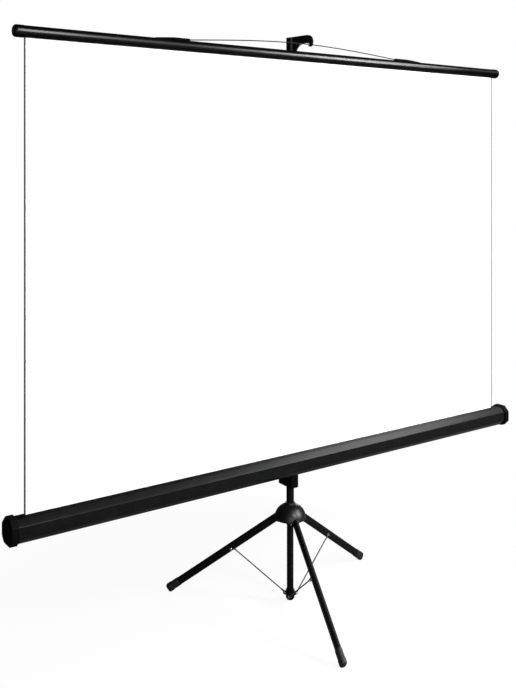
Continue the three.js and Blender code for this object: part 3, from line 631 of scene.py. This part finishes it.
def eased_corners(corners, radius, steps=4):
    """An open or closed outline's corners, as (point, rounded?) pairs, turned into short arcs."""
    points = []
    for index, (corner, rounded) in enumerate(corners):
        here = Vector(corner)
        if not rounded:
            points.append(here)
            continue
        before = (Vector(corners[index - 1][0]) - here).normalized()
        after = (Vector(corners[(index + 1) % len(corners)][0]) - here).normalized()
        half = before.angle(after) / 2
        reach = radius / math.tan(half)
        middle = here + (before + after).normalized() * (radius / math.sin(half))
        start = here + before * reach - middle
        end = here + after * reach - middle
        for step in range(steps + 1):
            points.append(middle + start.lerp(end, step / steps).normalized() * radius)
    return points


def case_corners(outwards):
    """The case's octagon with all its faces moved outwards, as (y, z) from the top of its back."""
    half = size("case_shell").z / 2 + outwards
    flat = half - CASE_CUT - (2 - math.sqrt(2)) * outwards
    return [
        (flat, half), (half, flat), (half, -flat), (flat, -half),
        (-flat, -half), (-half, -flat), (-half, flat), (-flat, half),
    ]


def ovals(name, rings, place, closed=False):
    """A skin through rounded rectangles of (deep, wide, radius, height). Open, its ends are capped."""
    points = []
    for deep, wide, radius, height in rings:
        x, y = deep / 2, wide / 2
        corners = [((x, -y), True), ((x, y), True), ((-x, y), True), ((-x, -y), True)]
        outline = eased_corners(corners, radius, 9)
        points += [(x, y, height) for x, y in outline]
    return new_mesh(name, points, tube_faces(len(rings), len(outline), closed, not closed), place)


def extruded_x(name, outline, x0, x1, place=None):
    """A closed (y, z) outline swept along X."""
    points = [(x, y, z) for x in (x0, x1) for y, z in outline]
    return new_mesh(name, points, tube_faces(2, len(outline), False, True), place)


def solid_from_strip(outer, inner):
    """A thin wall's closed section: out along one side, back along the other."""
    return [tuple(p) for p in outer] + [tuple(p) for p in reversed(inner)]


def swept(name, path, radius, sides):
    """A round wire along points in space, capped at its ends."""
    points = []
    side_way = None
    for index, here in enumerate(path):
        before = path[max(index - 1, 0)]
        after = path[min(index + 1, len(path) - 1)]
        along = (after - before).normalized()
        if side_way is None:
            side_way = along.orthogonal().normalized()
        side_way = (side_way - along * side_way.dot(along)).normalized()
        up_way = along.cross(side_way)
        points += [here + (side_way * c + up_way * s) * radius for c, s in circle(sides)]
    return new_mesh(name, points, tube_faces(len(path), sides, False, True))


# The pieces


def make_cloth(sizes):
    """The drawn cloth: white in front, dark behind, with a dark line down each side."""
    lowest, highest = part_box("cloth_sheet")
    span = highest - lowest
    thick = span.y / 2 * 0.9
    middle = (highest.y + lowest.y) / 2
    edge = sizes.edge_line
    white_columns, row_count = 96, 72
    white = span.x - 2 * edge
    columns = [lowest.x + edge + white * step / white_columns for step in range(white_columns)]
    columns = [lowest.x, *columns, highest.x - edge, highest.x]
    rows = [lowest.z + span.z * step / row_count for step in range(row_count + 1)]

    def wave(x, z):
        """How far the cloth stands out: nothing at its held ends, most at its free sides."""
        up = ((z - lowest.z) / span.z - 0.04) / 0.92
        free = math.sin(math.pi * min(max(up, 0.0), 1.0)) ** 0.5
        slow = noise.noise(Vector((x * 1.1, z * 1.3, 4.0)))
        return sizes.cloth_wave * free * slow * (0.5 + 0.5 * (abs(x) / highest.x) ** 4)

    points = [
        (x, middle + face * thick + wave(x, z), z) for face in (-1, 1) for z in rows for x in columns
    ]
    across, up = len(columns), len(rows)
    layer = across * up
    faces, slots = [], []
    for back in (0, 1):
        for row in range(up - 1):
            for column in range(across - 1):
                a = back * layer + row * across + column
                faces.append((a, a + 1, a + across + 1, a + across))
                slots.append(int(bool(back) or column in (0, across - 2)))
    border = list(range(across))
    border += [row * across + across - 1 for row in range(1, up)]
    border += [(up - 1) * across + column for column in range(across - 2, -1, -1)]
    border += [row * across for row in range(up - 2, 0, -1)]
    for a, b in zip(border, border[1:] + border[:1]):
        faces.append((a, b, b + layer, a + layer))
        slots.append(1)
    mesh = new_mesh("screen_cloth", points, faces)
    mesh.polygons.foreach_set("material_index", slots)
    cloth = link_piece(mesh, ["cloth_front", "cloth_back"], "cloth_sheet", 60.0, ride=False)
    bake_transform(cloth)


def make_wound_cloth():
    """The cloth left on the roller, wound in a spiral."""
    span, middle = size("cloth_roll"), centre("cloth_roll")
    radius_in = size("roller_tube").z / 2 + 0.3 * MM
    radius_out = span.z / 2
    turns, steps, filled = 5, 40, 0.82
    pitch = (radius_out - radius_in) / (turns + 1)
    outer, inner = [], []
    for step in range(turns * steps + 1):
        angle = 2 * math.pi * step / steps
        radius = radius_in + pitch * step / steps
        way = Vector((math.cos(angle), math.sin(angle)))
        inner.append(way * radius)
        outer.append(way * (radius + pitch * filled))
    place = Matrix.Translation((0, middle.y, middle.z))
    outline = solid_from_strip(outer, inner)
    mesh = extruded_x("wound_cloth", outline, low("cloth_roll").x, high("cloth_roll").x, place)
    piece = link_piece(mesh, ["cloth_back"], "cloth_roll")


def make_case(sizes):
    """The folded octagonal case with the cloth's slot in its top face."""
    lowest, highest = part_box("case_shell")
    middle = centre("case_shell")
    top = (highest.z - lowest.z) / 2
    slot_front = centre("cloth_sheet").y - middle.y - CASE_SLOT / 2
    slot_back = slot_front + CASE_SLOT

    def skin(outwards, front, back):
        walk = [((back, top + outwards), False)]
        walk += [(corner, True) for corner in case_corners(outwards)]
        walk.append(((front, top + outwards), False))
        path = eased_corners(walk, sizes.case_edge + outwards)
        lip = top - sizes.case_lip
        return [Vector((back, lip))] + path + [Vector((front, lip))]

    outer = skin(0.0, slot_front, slot_back)
    inner = skin(-CASE_WALL, slot_front - CASE_WALL, slot_back + CASE_WALL)
    place = Matrix.Translation((0, middle.y, middle.z))
    mesh = extruded_x("case_tube", solid_from_strip(outer, inner), lowest.x, highest.x, place)
    bolt_place = Matrix.Translation((0, highest.y, middle.z)) @ ALONG_Y
    bore, through = 5.4 * MM, 6 * MM
    mesh = drilled(mesh, [drill(bore, through, bolt_place, 40)])
    # the top faces take the finish with the painted reflection along X
    for face in mesh.polygons:
        if face.center.z > middle.z + top - 0.5 * MM:
            face.material_index = 1
    link_piece(mesh, ["case_paint", "case_top"], "case_shell")


def make_case_caps(sizes):
    """Octagonal end caps with a bevelled rim and a sunk panel."""
    pocket, outside, panel, ease = 0.25 * MM, 4 * MM, -8 * MM, 0.8 * MM
    for side, name in SIDES:
        source = f"end_cap_{name}"
        length = size(source).x
        # out from the case's octagon, along the cap
        profile = [
            (pocket, 18 * MM), (pocket, ease), (pocket + ease, 0.0), (outside - ease, 0.0), (outside, ease),
            (outside, length - 5.5 * MM), (outside - 0.5 * MM, length - 4.6 * MM),
            (outside - 4.4 * MM, length - 0.7 * MM), (outside - 5.4 * MM, length),
            (panel + 1.6 * MM, length), (panel + 1 * MM, length - 0.3 * MM),
            (panel, length - 1.5 * MM), (panel - 1.2 * MM, length - 1.5 * MM),
        ]
        points = []
        for outwards, along in profile:
            ring = eased_corners([(corner, True) for corner in case_corners(outwards)], sizes.cap_edge)
            points += [(along, y, z) for y, z in ring]
        faces = tube_faces(len(profile), len(ring), False, True)
        mesh = new_mesh(f"case_cap_{name}", points, faces, cap_place(source, side))
        link_piece(mesh, ["cap_plastic"], source, 24.0)


def make_roller(sizes):
    """What the case hides: the roller, its plugs and bearings, its rod and its coiled spring."""
    lowest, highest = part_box("roller_tube")
    middle = centre("roller_tube")
    place = Matrix.Translation((0, middle.y, middle.z)) @ ALONG_X
    profile = pipe_profile((highest.z - lowest.z) / 2, 1.2 * MM, lowest.x, highest.x)
    mesh = lathe("roller_pipe", profile, sizes.pipe_sides, place, closed=True)
    link_piece(mesh, ["zinc_steel"], "roller_tube")
    for source, name in {
        "idle_plug": "roller_plug_idle", "spring_plug": "roller_plug_driven", "spring_rod": "spring_shaft",
        "bearing_plate_left": "bearing_left", "bearing_plate_right": "bearing_right",
    }.items():
        dress(source, name, sizes.small_edge)
    wire, steps = 1.4 * MM, 20
    span = size("roller_spring")
    radius = span.z / 2 - wire
    count = sizes.spring_turns * steps
    path = []
    for step in range(count + 1):
        angle = 2 * math.pi * step / steps
        x = low("roller_spring").x + wire + (span.x - 2 * wire) * step / count
        path.append(Vector((x, middle.y + radius * math.cos(angle), middle.z + radius * math.sin(angle))))
    mesh = swept("coil_spring", path, wire, 6)
    link_piece(mesh, ["bright_steel"], "roller_spring", 60.0)


def matt_top_and_bottom(mesh, middle, radius):
    """The second finish for all but the bar's front and back."""
    gloss_from, gloss_to = -0.5, 0.42
    for face in mesh.polygons:
        if not gloss_from <= (face.center.z - middle.z) / radius <= gloss_to:
            face.material_index = 1


def make_top_bar(sizes):
    """The round top bar with the cloth's groove under it, and its caps."""
    lowest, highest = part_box("top_bar")
    middle = centre("bar_cap_left")
    radius = (highest.y - lowest.y) / 2 + 0.8 * MM  # a little thicker than the solid, as it is seen
    wall, gap = 1.5 * MM, 1 * MM
    steps = sizes.pipe_sides * 2

    def arc(r):
        start = math.asin(gap / r)
        angles = [start + (2 * math.pi - 2 * start) * step / steps for step in range(steps + 1)]
        return [Vector((r * math.sin(angle), -r * math.cos(angle))) for angle in angles]

    outline = solid_from_strip(arc(radius), arc(radius - wall))
    place = Matrix.Translation((0, middle.y, middle.z))
    mesh = extruded_x("top_bar_tube", outline, lowest.x, highest.x, place)
    matt_top_and_bottom(mesh, middle, radius)
    link_piece(mesh, ["bar_paint", "bar_top"], "top_bar")
    bore, nose, nose_steps = radius + 0.1 * MM, 9 * MM, 10
    for side, name in SIDES:
        source = f"bar_cap_{name}"
        outer, length = size(source).z / 2, size(source).x
        seat = highest.x - (low(source).x if side > 0 else -high(source).x) + 0.25 * MM
        profile = [
            (0.0, seat), (bore, seat), (bore, 0.4 * MM), (bore + 0.4 * MM, 0.0),
            (outer - 0.8 * MM, 0.0), (outer, 0.8 * MM),
        ]
        profile += [(outer - nose * (1 - c), length - nose * (1 - s)) for c, s in quarter(nose_steps)]
        profile.append((0.0, length))
        mesh = lathe(f"bar_end_{name}", profile, sizes.pipe_sides, cap_place(source, side) @ ALONG_X)
        matt_top_and_bottom(mesh, middle, outer)
        link_piece(mesh, ["bar_paint", "bar_top"], source, 28.0)


def make_bail():
    """The sprung wire that hangs the bar on the hook."""
    highest = high("bail_wire")
    radius = 1.6 * MM
    base = centre("bar_cap_left").z + size("top_bar").y / 2 + 3.25 * MM
    rise = highest.z - radius - base
    half, reach = 400 * MM, highest.x - 0.3 * MM  # where the wire leaves its clips, and where it ends
    count = 240
    path = []
    for step in range(count + 1):
        x = reach * (2 * step / count - 1)
        share = min(abs(x) / half, 1.0)
        z = base + rise * (1 - (3 * share ** 2 - share ** 3) / 2)  # as a sprung wire bends
        path.append(Vector((x, centre("bail_wire").y, z)))
    link_piece(swept("bail", path, radius, 16), ["bail_wire"], "bail_wire", 50.0)


def make_mast(sizes):
    """The three telescoping tubes of the mast."""
    for source, name, wall in (
        ("mast_tube", "mast_outer", 0.9 * MM),
        ("inner_tube", "mast_inner", 1.2 * MM),
        ("lower_tube", "mast_lower", 1.0 * MM),
    ):
        lowest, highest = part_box(source)
        profile = pipe_profile((highest.x - lowest.x) / 2, wall, lowest.z, highest.z)
        mesh = lathe(name, profile, sizes.pipe_sides, MAST_PLACE, closed=True)
        link_piece(mesh, ["black_paint"], source)


def make_dome():
    """The hub's dome with a slot for each leg."""
    outer, wall = size("hub_dome").x / 2, 3 * MM
    neck, hole = 15.5 * MM, size("mast_tube").x / 2 + 0.25 * MM
    rim, top = low("hub_dome").z, high("hub_dome").z
    flatness, steps = 0.94, 22

    def arc(radius, end):
        last = math.acos(end / radius)
        angles = [last * step / steps for step in range(steps + 1)]
        return [(radius * math.cos(a), rim + flatness * radius * math.sin(a)) for a in angles]

    outside = arc(outer, neck + 2 * MM)
    inside = list(reversed(arc(outer - wall, hole + 2 * MM)))
    profile = outside[1:] + [
        (neck + 0.7 * MM, outside[-1][1] + 0.9 * MM), (neck, outside[-1][1] + 2.6 * MM), (neck, top - 1 * MM),
        (neck - 1 * MM, top), (hole, top), (hole, inside[0][1]),
    ] + inside[:-1] + [
        (outer - wall, rim + 0.5 * MM), (outer - wall + 0.5 * MM, rim), (outer - 0.8 * MM, rim),
        (outer, rim + 0.8 * MM),
    ]
    mesh = lathe("hub_cover", profile, 120, MAST_PLACE, closed=True)
    half_width, rise, radius = 9.25 * MM, 11 * MM, 6 * MM
    slot_from, slot_to = 15 * MM, 110 * MM
    slot = eased_corners([
        ((-half_width, -rise), False), ((half_width, -rise), False),
        ((half_width, rise), True), ((-half_width, rise), True),
    ], radius, 8)
    cutters = [
        extruded_x("slot", slot, slot_from, slot_to, heading_place(heading) @ Matrix.Translation((0, 0, rim)))
        for heading in LEGS.values()
    ]
    link_piece(drilled(mesh, cutters), ["dome_plastic"], "hub_dome", 26.0)


def make_legs():
    """Leg tubes, drilled for their hub pins and rivets."""
    wall, start, end = 1.2 * MM, -7 * MM, LEG_RUN - 6.25 * MM
    pin_bore, rivet_bore, through = 2.8 * MM, 2.25 * MM, 15 * MM
    section = pipe_profile(0.0, wall, start, end)
    rings = [(LEG_DEEP + 2 * out, LEG_WIDE + 2 * out, LEG_ROUND + out, height) for out, height in section]
    for name, heading in LEGS.items():
        place = tilted_place(heading, PIN_OUT, 0, LEG_TOP_UP, LEG_TILT)
        mesh = ovals(f"leg_pipe_{name}", rings, place, closed=True)
        mesh = drilled(mesh, [
            drill(pin_bore, through, cross_place(heading, PIN_OUT, PIN_UP)),
            drill(rivet_bore, through, cross_place(heading, BRACE_OUT, BRACE_UP)),
        ])
        link_piece(mesh, ["black_paint"], f"leg_{name}")


def make_feet():
    """Rubber foot caps with a waist, a thicker end with a round nose, and a sole worn flat."""
    end = LEG_RUN + 4 * MM
    start = end - 46 * MM
    deep, wide, corner = 28 * MM, 20.5 * MM, 9.5 * MM
    waist, nose, steps = 0.9 * MM, 7 * MM, 8
    # in from the thick end's outline, along the leg
    section = [
        (waist + 0.5 * MM, start), (waist, start + 0.6 * MM), (waist, end - 22 * MM),
        (waist - 0.4 * MM, end - 20 * MM), (0.1 * MM, end - 17.5 * MM),
    ]
    section += [(nose * (1 - c), end - nose * (1 - s)) for c, s in quarter(steps)]
    bore = (LEG_DEEP + 0.5 * MM, LEG_WIDE + 0.5 * MM, LEG_ROUND + 0.25 * MM)
    rings = [(*bore, LEG_RUN - 6 * MM), (*bore, start)]
    rings += [(deep - 2 * i, wide - 2 * i, corner - i, height) for i, height in section]
    for name, heading in LEGS.items():
        mesh = ovals(f"foot_{name}", rings, tilted_place(heading, PIN_OUT, 0, LEG_TOP_UP, LEG_TILT))
        ground = new_mesh("ground", [
            (x, y, z) for z in (-0.05, 0.0) for x, y in ((-1, -1), (1, -1), (1, 1), (-1, 1))
        ], tube_faces(2, 4, False, True))
        link_piece(drilled(mesh, [ground]), ["foot_rubber"], f"foot_cap_{name}", 30.0)


def make_braces():
    """Round brace rods, hammered flat to an eye at each end."""
    run, rise = BRACE_OUT - COLLAR_PIN_OUT, BRACE_UP - COLLAR_PIN_UP
    length = math.hypot(run, rise)
    eye, flat, tongue, rod = 5.5 * MM, 1.3 * MM, 3 * MM, 2 * MM
    eye_steps, sides = 13, 20
    stations = []  # along the rod, half its width, half its thickness
    for step in range(eye_steps):
        along = -eye + 2 * eye * step / eye_steps
        width = math.sqrt(max(eye ** 2 - along ** 2, 0.0))
        stations.append((along, max(width, tongue if along > 0 else 0.3 * MM), flat))
    stations += [
        (9 * MM, tongue, flat), (12 * MM, tongue * 0.95, flat * 1.05),
        (16 * MM, rod * 1.1, rod * 0.92), (20 * MM, rod, rod),
    ]
    stations += [(length - s, w, t) for s, w, t in reversed(stations)]
    points = []
    for along, width, thick in stations:
        power = 0.55 if thick < 1.5 * MM else 1.0  # squarer where hammered
        points += [
            (math.copysign(abs(c) ** power, c) * width, math.copysign(abs(s) ** power, s) * thick, along)
            for c, s in circle(sides)
        ]
    faces = tube_faces(len(stations), sides, False, True)
    for name, heading in LEGS.items():
        place = tilted_place(heading, COLLAR_PIN_OUT, -BRACE_ASIDE, COLLAR_PIN_UP, math.atan2(run, rise))
        mesh = new_mesh(f"brace_rod_{name}", points, faces, place)
        mesh = drilled(mesh, [
            drill(2.3 * MM, 5 * MM, place @ Matrix.Translation((0, 0, at)) @ ALONG_Y) for at in (0.0, length)
        ])
        link_piece(mesh, ["brace_steel"], f"brace_{name}", 40.0)


def domed_head(radius, height, seat, way):
    """A rivet head's (radius, height) section from its crown to its seat; way is 1 up or -1 down."""
    return [(radius * s, seat + way * height * (0.3 + 0.7 * c)) for c, s in quarter(5)] + [(radius, seat)]


def make_rivets():
    """Hub pins, and the rivets of legs, braces and base collar."""
    eye_face = 1.55 * MM
    outer, inner = -BRACE_ASIDE - eye_face, -BRACE_ASIDE + eye_face
    pin, pin_head, grip = 2.5 * MM, (4.5 * MM, 1.8 * MM), 12.45 * MM
    shank, head = 2 * MM, (4.25 * MM, 1.6 * MM)
    leg_in, leg_out, collar_in = -7.9 * MM, 8.25 * MM, inner + 3.25 * MM
    outer_head = domed_head(*head, outer, -1)
    sections = {
        "hub": domed_head(*pin_head, -grip, -1) + [(pin, -grip), (pin, grip)] + (
            domed_head(*pin_head, grip, 1)[::-1]),
        "leg": [(0.0, leg_in), (shank, leg_in), (shank, leg_out)] + domed_head(*head, leg_out, 1)[::-1],
        "brace": outer_head + [
            (shank, outer), (shank, inner), (head[0], inner), (head[0], inner + 0.55 * MM),
            (3.9 * MM, inner + 0.65 * MM), (0.0, inner + 0.65 * MM)],
        "collar": outer_head + [(shank, outer), (shank, collar_in)] + (
            domed_head(*head, collar_in, 1)[::-1]),
    }
    for name, heading in LEGS.items():
        for kind, piece, source, out, up in (
            ("hub", "hub_rivet", "hub_pin", PIN_OUT, PIN_UP),
            ("leg", "leg_stud", "leg_rivet", BRACE_OUT, BRACE_UP),
            ("brace", "brace_stud", "brace_rivet", BRACE_OUT, BRACE_UP),
            ("collar", "collar_stud", "collar_rivet", COLLAR_PIN_OUT, COLLAR_PIN_UP),
        ):
            mesh = lathe(f"{piece}_{name}", sections[kind], 28, cross_place(heading, out, up))
            link_piece(mesh, ["bright_steel"], f"{source}_{name}")


def make_fittings(sizes):
    """Moulded and pressed fittings, with their edges rounded."""
    moulded = {
        "mast_hook": "hook", "carriage_block": "carriage", "clamp_knob": "knob", "mast_collar": "collar_top",
        "release_lever": "lever", "hub_spider": "hub_arms", "base_collar": "collar_base",
        "tube_plug": "foot_plug", "bail_clip_left": "clip_left", "bail_clip_right": "clip_right",
    }
    pressed = {
        "clamp_nut": "nut", "clamp_screw": "screw", "pivot_bolt": "case_bolt", "pivot_plate": "case_plate",
        "pivot_washer": "case_washer", "lever_pin": "lever_hinge_pin",
    }
    # the share of the round that a thin edge can take
    tight = {"hub_spider": 0.4, "base_collar": 0.5, "bail_clip_left": 0.4, "bail_clip_right": 0.4,
             "mast_collar": 0.7, "tube_plug": 0.6}
    for source, name in moulded.items():
        finish = "bar_top" if source.startswith("bail_clip") else None
        dress(source, name, sizes.moulded_edge * tight.get(source, 1.0), finish, segments=3)
    for source, name in pressed.items():
        dress(source, name, sizes.small_edge)


# The stage


def make_world():
    """White to the camera, a dim fill for the rest."""
    world = bpy.data.worlds.new("studio")
    bpy.context.scene.world = world
    world.use_nodes = True
    tree = world.node_tree
    background = tree.nodes["Background"]
    background.inputs["Color"].default_value = (1.0, 1.0, 1.0, 1.0)
    seen = node(tree, "ShaderNodeLightPath").outputs["Is Camera Ray"]
    tree.links.new(between(tree, seen, 0.05, 1.0), background.inputs["Strength"])


def soft_box(name, place, target, width, height, power):
    data = bpy.data.lights.new(name, "AREA")
    data.shape = "RECTANGLE"
    data.size = width
    data.size_y = height
    data.energy = power
    light = in_scene(data)
    light.location = place
    light.rotation_euler = (Vector(target) - Vector(place)).to_track_quat("-Z", "Y").to_euler()


def make_camera():
    """The photograph's view: level, turned to the right, with the frame shifted down."""
    data = bpy.data.cameras.new("camera")
    data.sensor_width = 36.0
    data.lens = 46.20
    data.shift_x = -0.0073
    data.shift_y = -0.2560
    camera = in_scene(data)
    camera.location = (-1.6785, MAST.y - 2.2560, 1.3804)
    camera.rotation_euler = (math.pi / 2, 0.0, math.radians(-34.89))
    bpy.context.scene.camera = camera


def make_stage(colours):
    """The floor, just under the feet, the lamps and the view transform."""
    make_world()
    half, sunk = 14.0, -0.5 * MM
    corners = [(-half, -half, sunk), (half, -half, sunk), (half, half, sunk), (-half, half, sunk)]
    mesh = new_mesh("studio_floor", corners, [(0, 1, 2, 3)])
    mesh.materials.append(floor_finish(colours.floor[:]))
    in_scene(mesh)
    soft_box("key_box", (2.3, -1.0, 2.75), (0.35, 0.0, 0.49), 1.0, 1.0, 46.0)
    soft_box("right_strip", (2.5, -2.7, 2.5), (0.2, 0.0, 1.6), 0.5, 2.0, 180.0)
    soft_box("left_strip", (0.25, -3.0, 2.6), (-0.6, 0.0, 1.7), 0.4, 2.0, 95.0)
    soft_box("back_box", (2.6, 2.9, 1.1), (0.0, 0.0, 0.9), 1.4, 1.4, 60.0)
    soft_box("fill_box", (-2.4, -4.4, 1.15), (0.0, 0.0, 1.15), 2.4, 1.6, 60.0)
    bpy.context.scene.view_settings.view_transform = "Standard"


# Operators


class SCREEN_OT_finishes(Operator):
    """Make the shader groups and finishes"""

    bl_idname = "screen.finishes"
    bl_label = "Finishes"

    def execute(self, context):
        make_groups()
        make_finishes(context.scene.screen_colours)
        return {"FINISHED"}


class SCREEN_OT_cloth(Operator):
    """Hang the cloth and wind the rest on its roller"""

    bl_idname = "screen.cloth"
    bl_label = "Cloth"

    def execute(self, context):
        make_wound_cloth()
        make_cloth(context.scene.screen_sizes)
        return {"FINISHED"}


class SCREEN_OT_case(Operator):
    """Make the case, its end caps and what is inside"""

    bl_idname = "screen.case"
    bl_label = "Case"

    def execute(self, context):
        make_case(context.scene.screen_sizes)
        make_case_caps(context.scene.screen_sizes)
        make_roller(context.scene.screen_sizes)
        return {"FINISHED"}


class SCREEN_OT_top_bar(Operator):
    """Make the top bar, its caps and its bail"""

    bl_idname = "screen.top_bar"
    bl_label = "Top Bar"

    def execute(self, context):
        make_top_bar(context.scene.screen_sizes)
        make_bail()
        return {"FINISHED"}


class SCREEN_OT_mast(Operator):
    """Make the mast's tubes"""

    bl_idname = "screen.mast"
    bl_label = "Mast"

    def execute(self, context):
        make_mast(context.scene.screen_sizes)
        return {"FINISHED"}


class SCREEN_OT_tripod(Operator):
    """Make the hub's dome, legs, feet, braces and rivets"""

    bl_idname = "screen.tripod"
    bl_label = "Tripod"

    def execute(self, context):
        make_dome()
        make_legs()
        make_feet()
        make_braces()
        make_rivets()
        return {"FINISHED"}


class SCREEN_OT_fittings(Operator):
    """Round off the moulded and pressed fittings"""

    bl_idname = "screen.fittings"
    bl_label = "Fittings"

    def execute(self, context):
        make_fittings(context.scene.screen_sizes)
        return {"FINISHED"}


class SCREEN_OT_stage(Operator):
    """Set the floor, the lamps and the camera"""

    bl_idname = "screen.stage"
    bl_label = "Stage"

    def execute(self, context):
        make_stage(context.scene.screen_colours)
        make_camera()
        return {"FINISHED"}


OPERATORS = (
    SCREEN_OT_finishes, SCREEN_OT_cloth, SCREEN_OT_case, SCREEN_OT_top_bar, SCREEN_OT_mast,
    SCREEN_OT_tripod, SCREEN_OT_fittings, SCREEN_OT_stage,
)


class SCREEN_PT_build(Panel):
    """Sizes, colours and the steps of the build"""

    bl_idname = "SCREEN_PT_build"
    bl_label = "Projector Screen"
    bl_space_type = "VIEW_3D"
    bl_region_type = "UI"
    bl_category = "Screen"

    def draw(self, context):
        layout = self.layout
        for group_name in ("screen_sizes", "screen_colours"):
            settings = getattr(context.scene, group_name)
            for name in settings.bl_rna.properties.keys():
                if name not in {"rna_type", "name"}:
                    layout.prop(settings, name)
        for operator in OPERATORS:
            layout.operator(operator.bl_idname)


CLASSES = (ScreenSizes, ScreenColours, *OPERATORS, SCREEN_PT_build)


def register():
    for cls in CLASSES:
        bpy.utils.register_class(cls)
    bpy.types.Scene.screen_sizes = PointerProperty(type=ScreenSizes)
    bpy.types.Scene.screen_colours = PointerProperty(type=ScreenColours)


def unregister():
    del bpy.types.Scene.screen_colours
    del bpy.types.Scene.screen_sizes
    for cls in reversed(CLASSES):
        bpy.utils.unregister_class(cls)


def main():
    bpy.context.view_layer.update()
    register()
    bpy.ops.screen.finishes()
    bpy.ops.screen.cloth()
    bpy.ops.screen.case()
    bpy.ops.screen.top_bar()
    bpy.ops.screen.mast()
    bpy.ops.screen.tripod()
    bpy.ops.screen.fittings()
    bpy.ops.screen.stage()


if __name__ == "__main__":
    main()
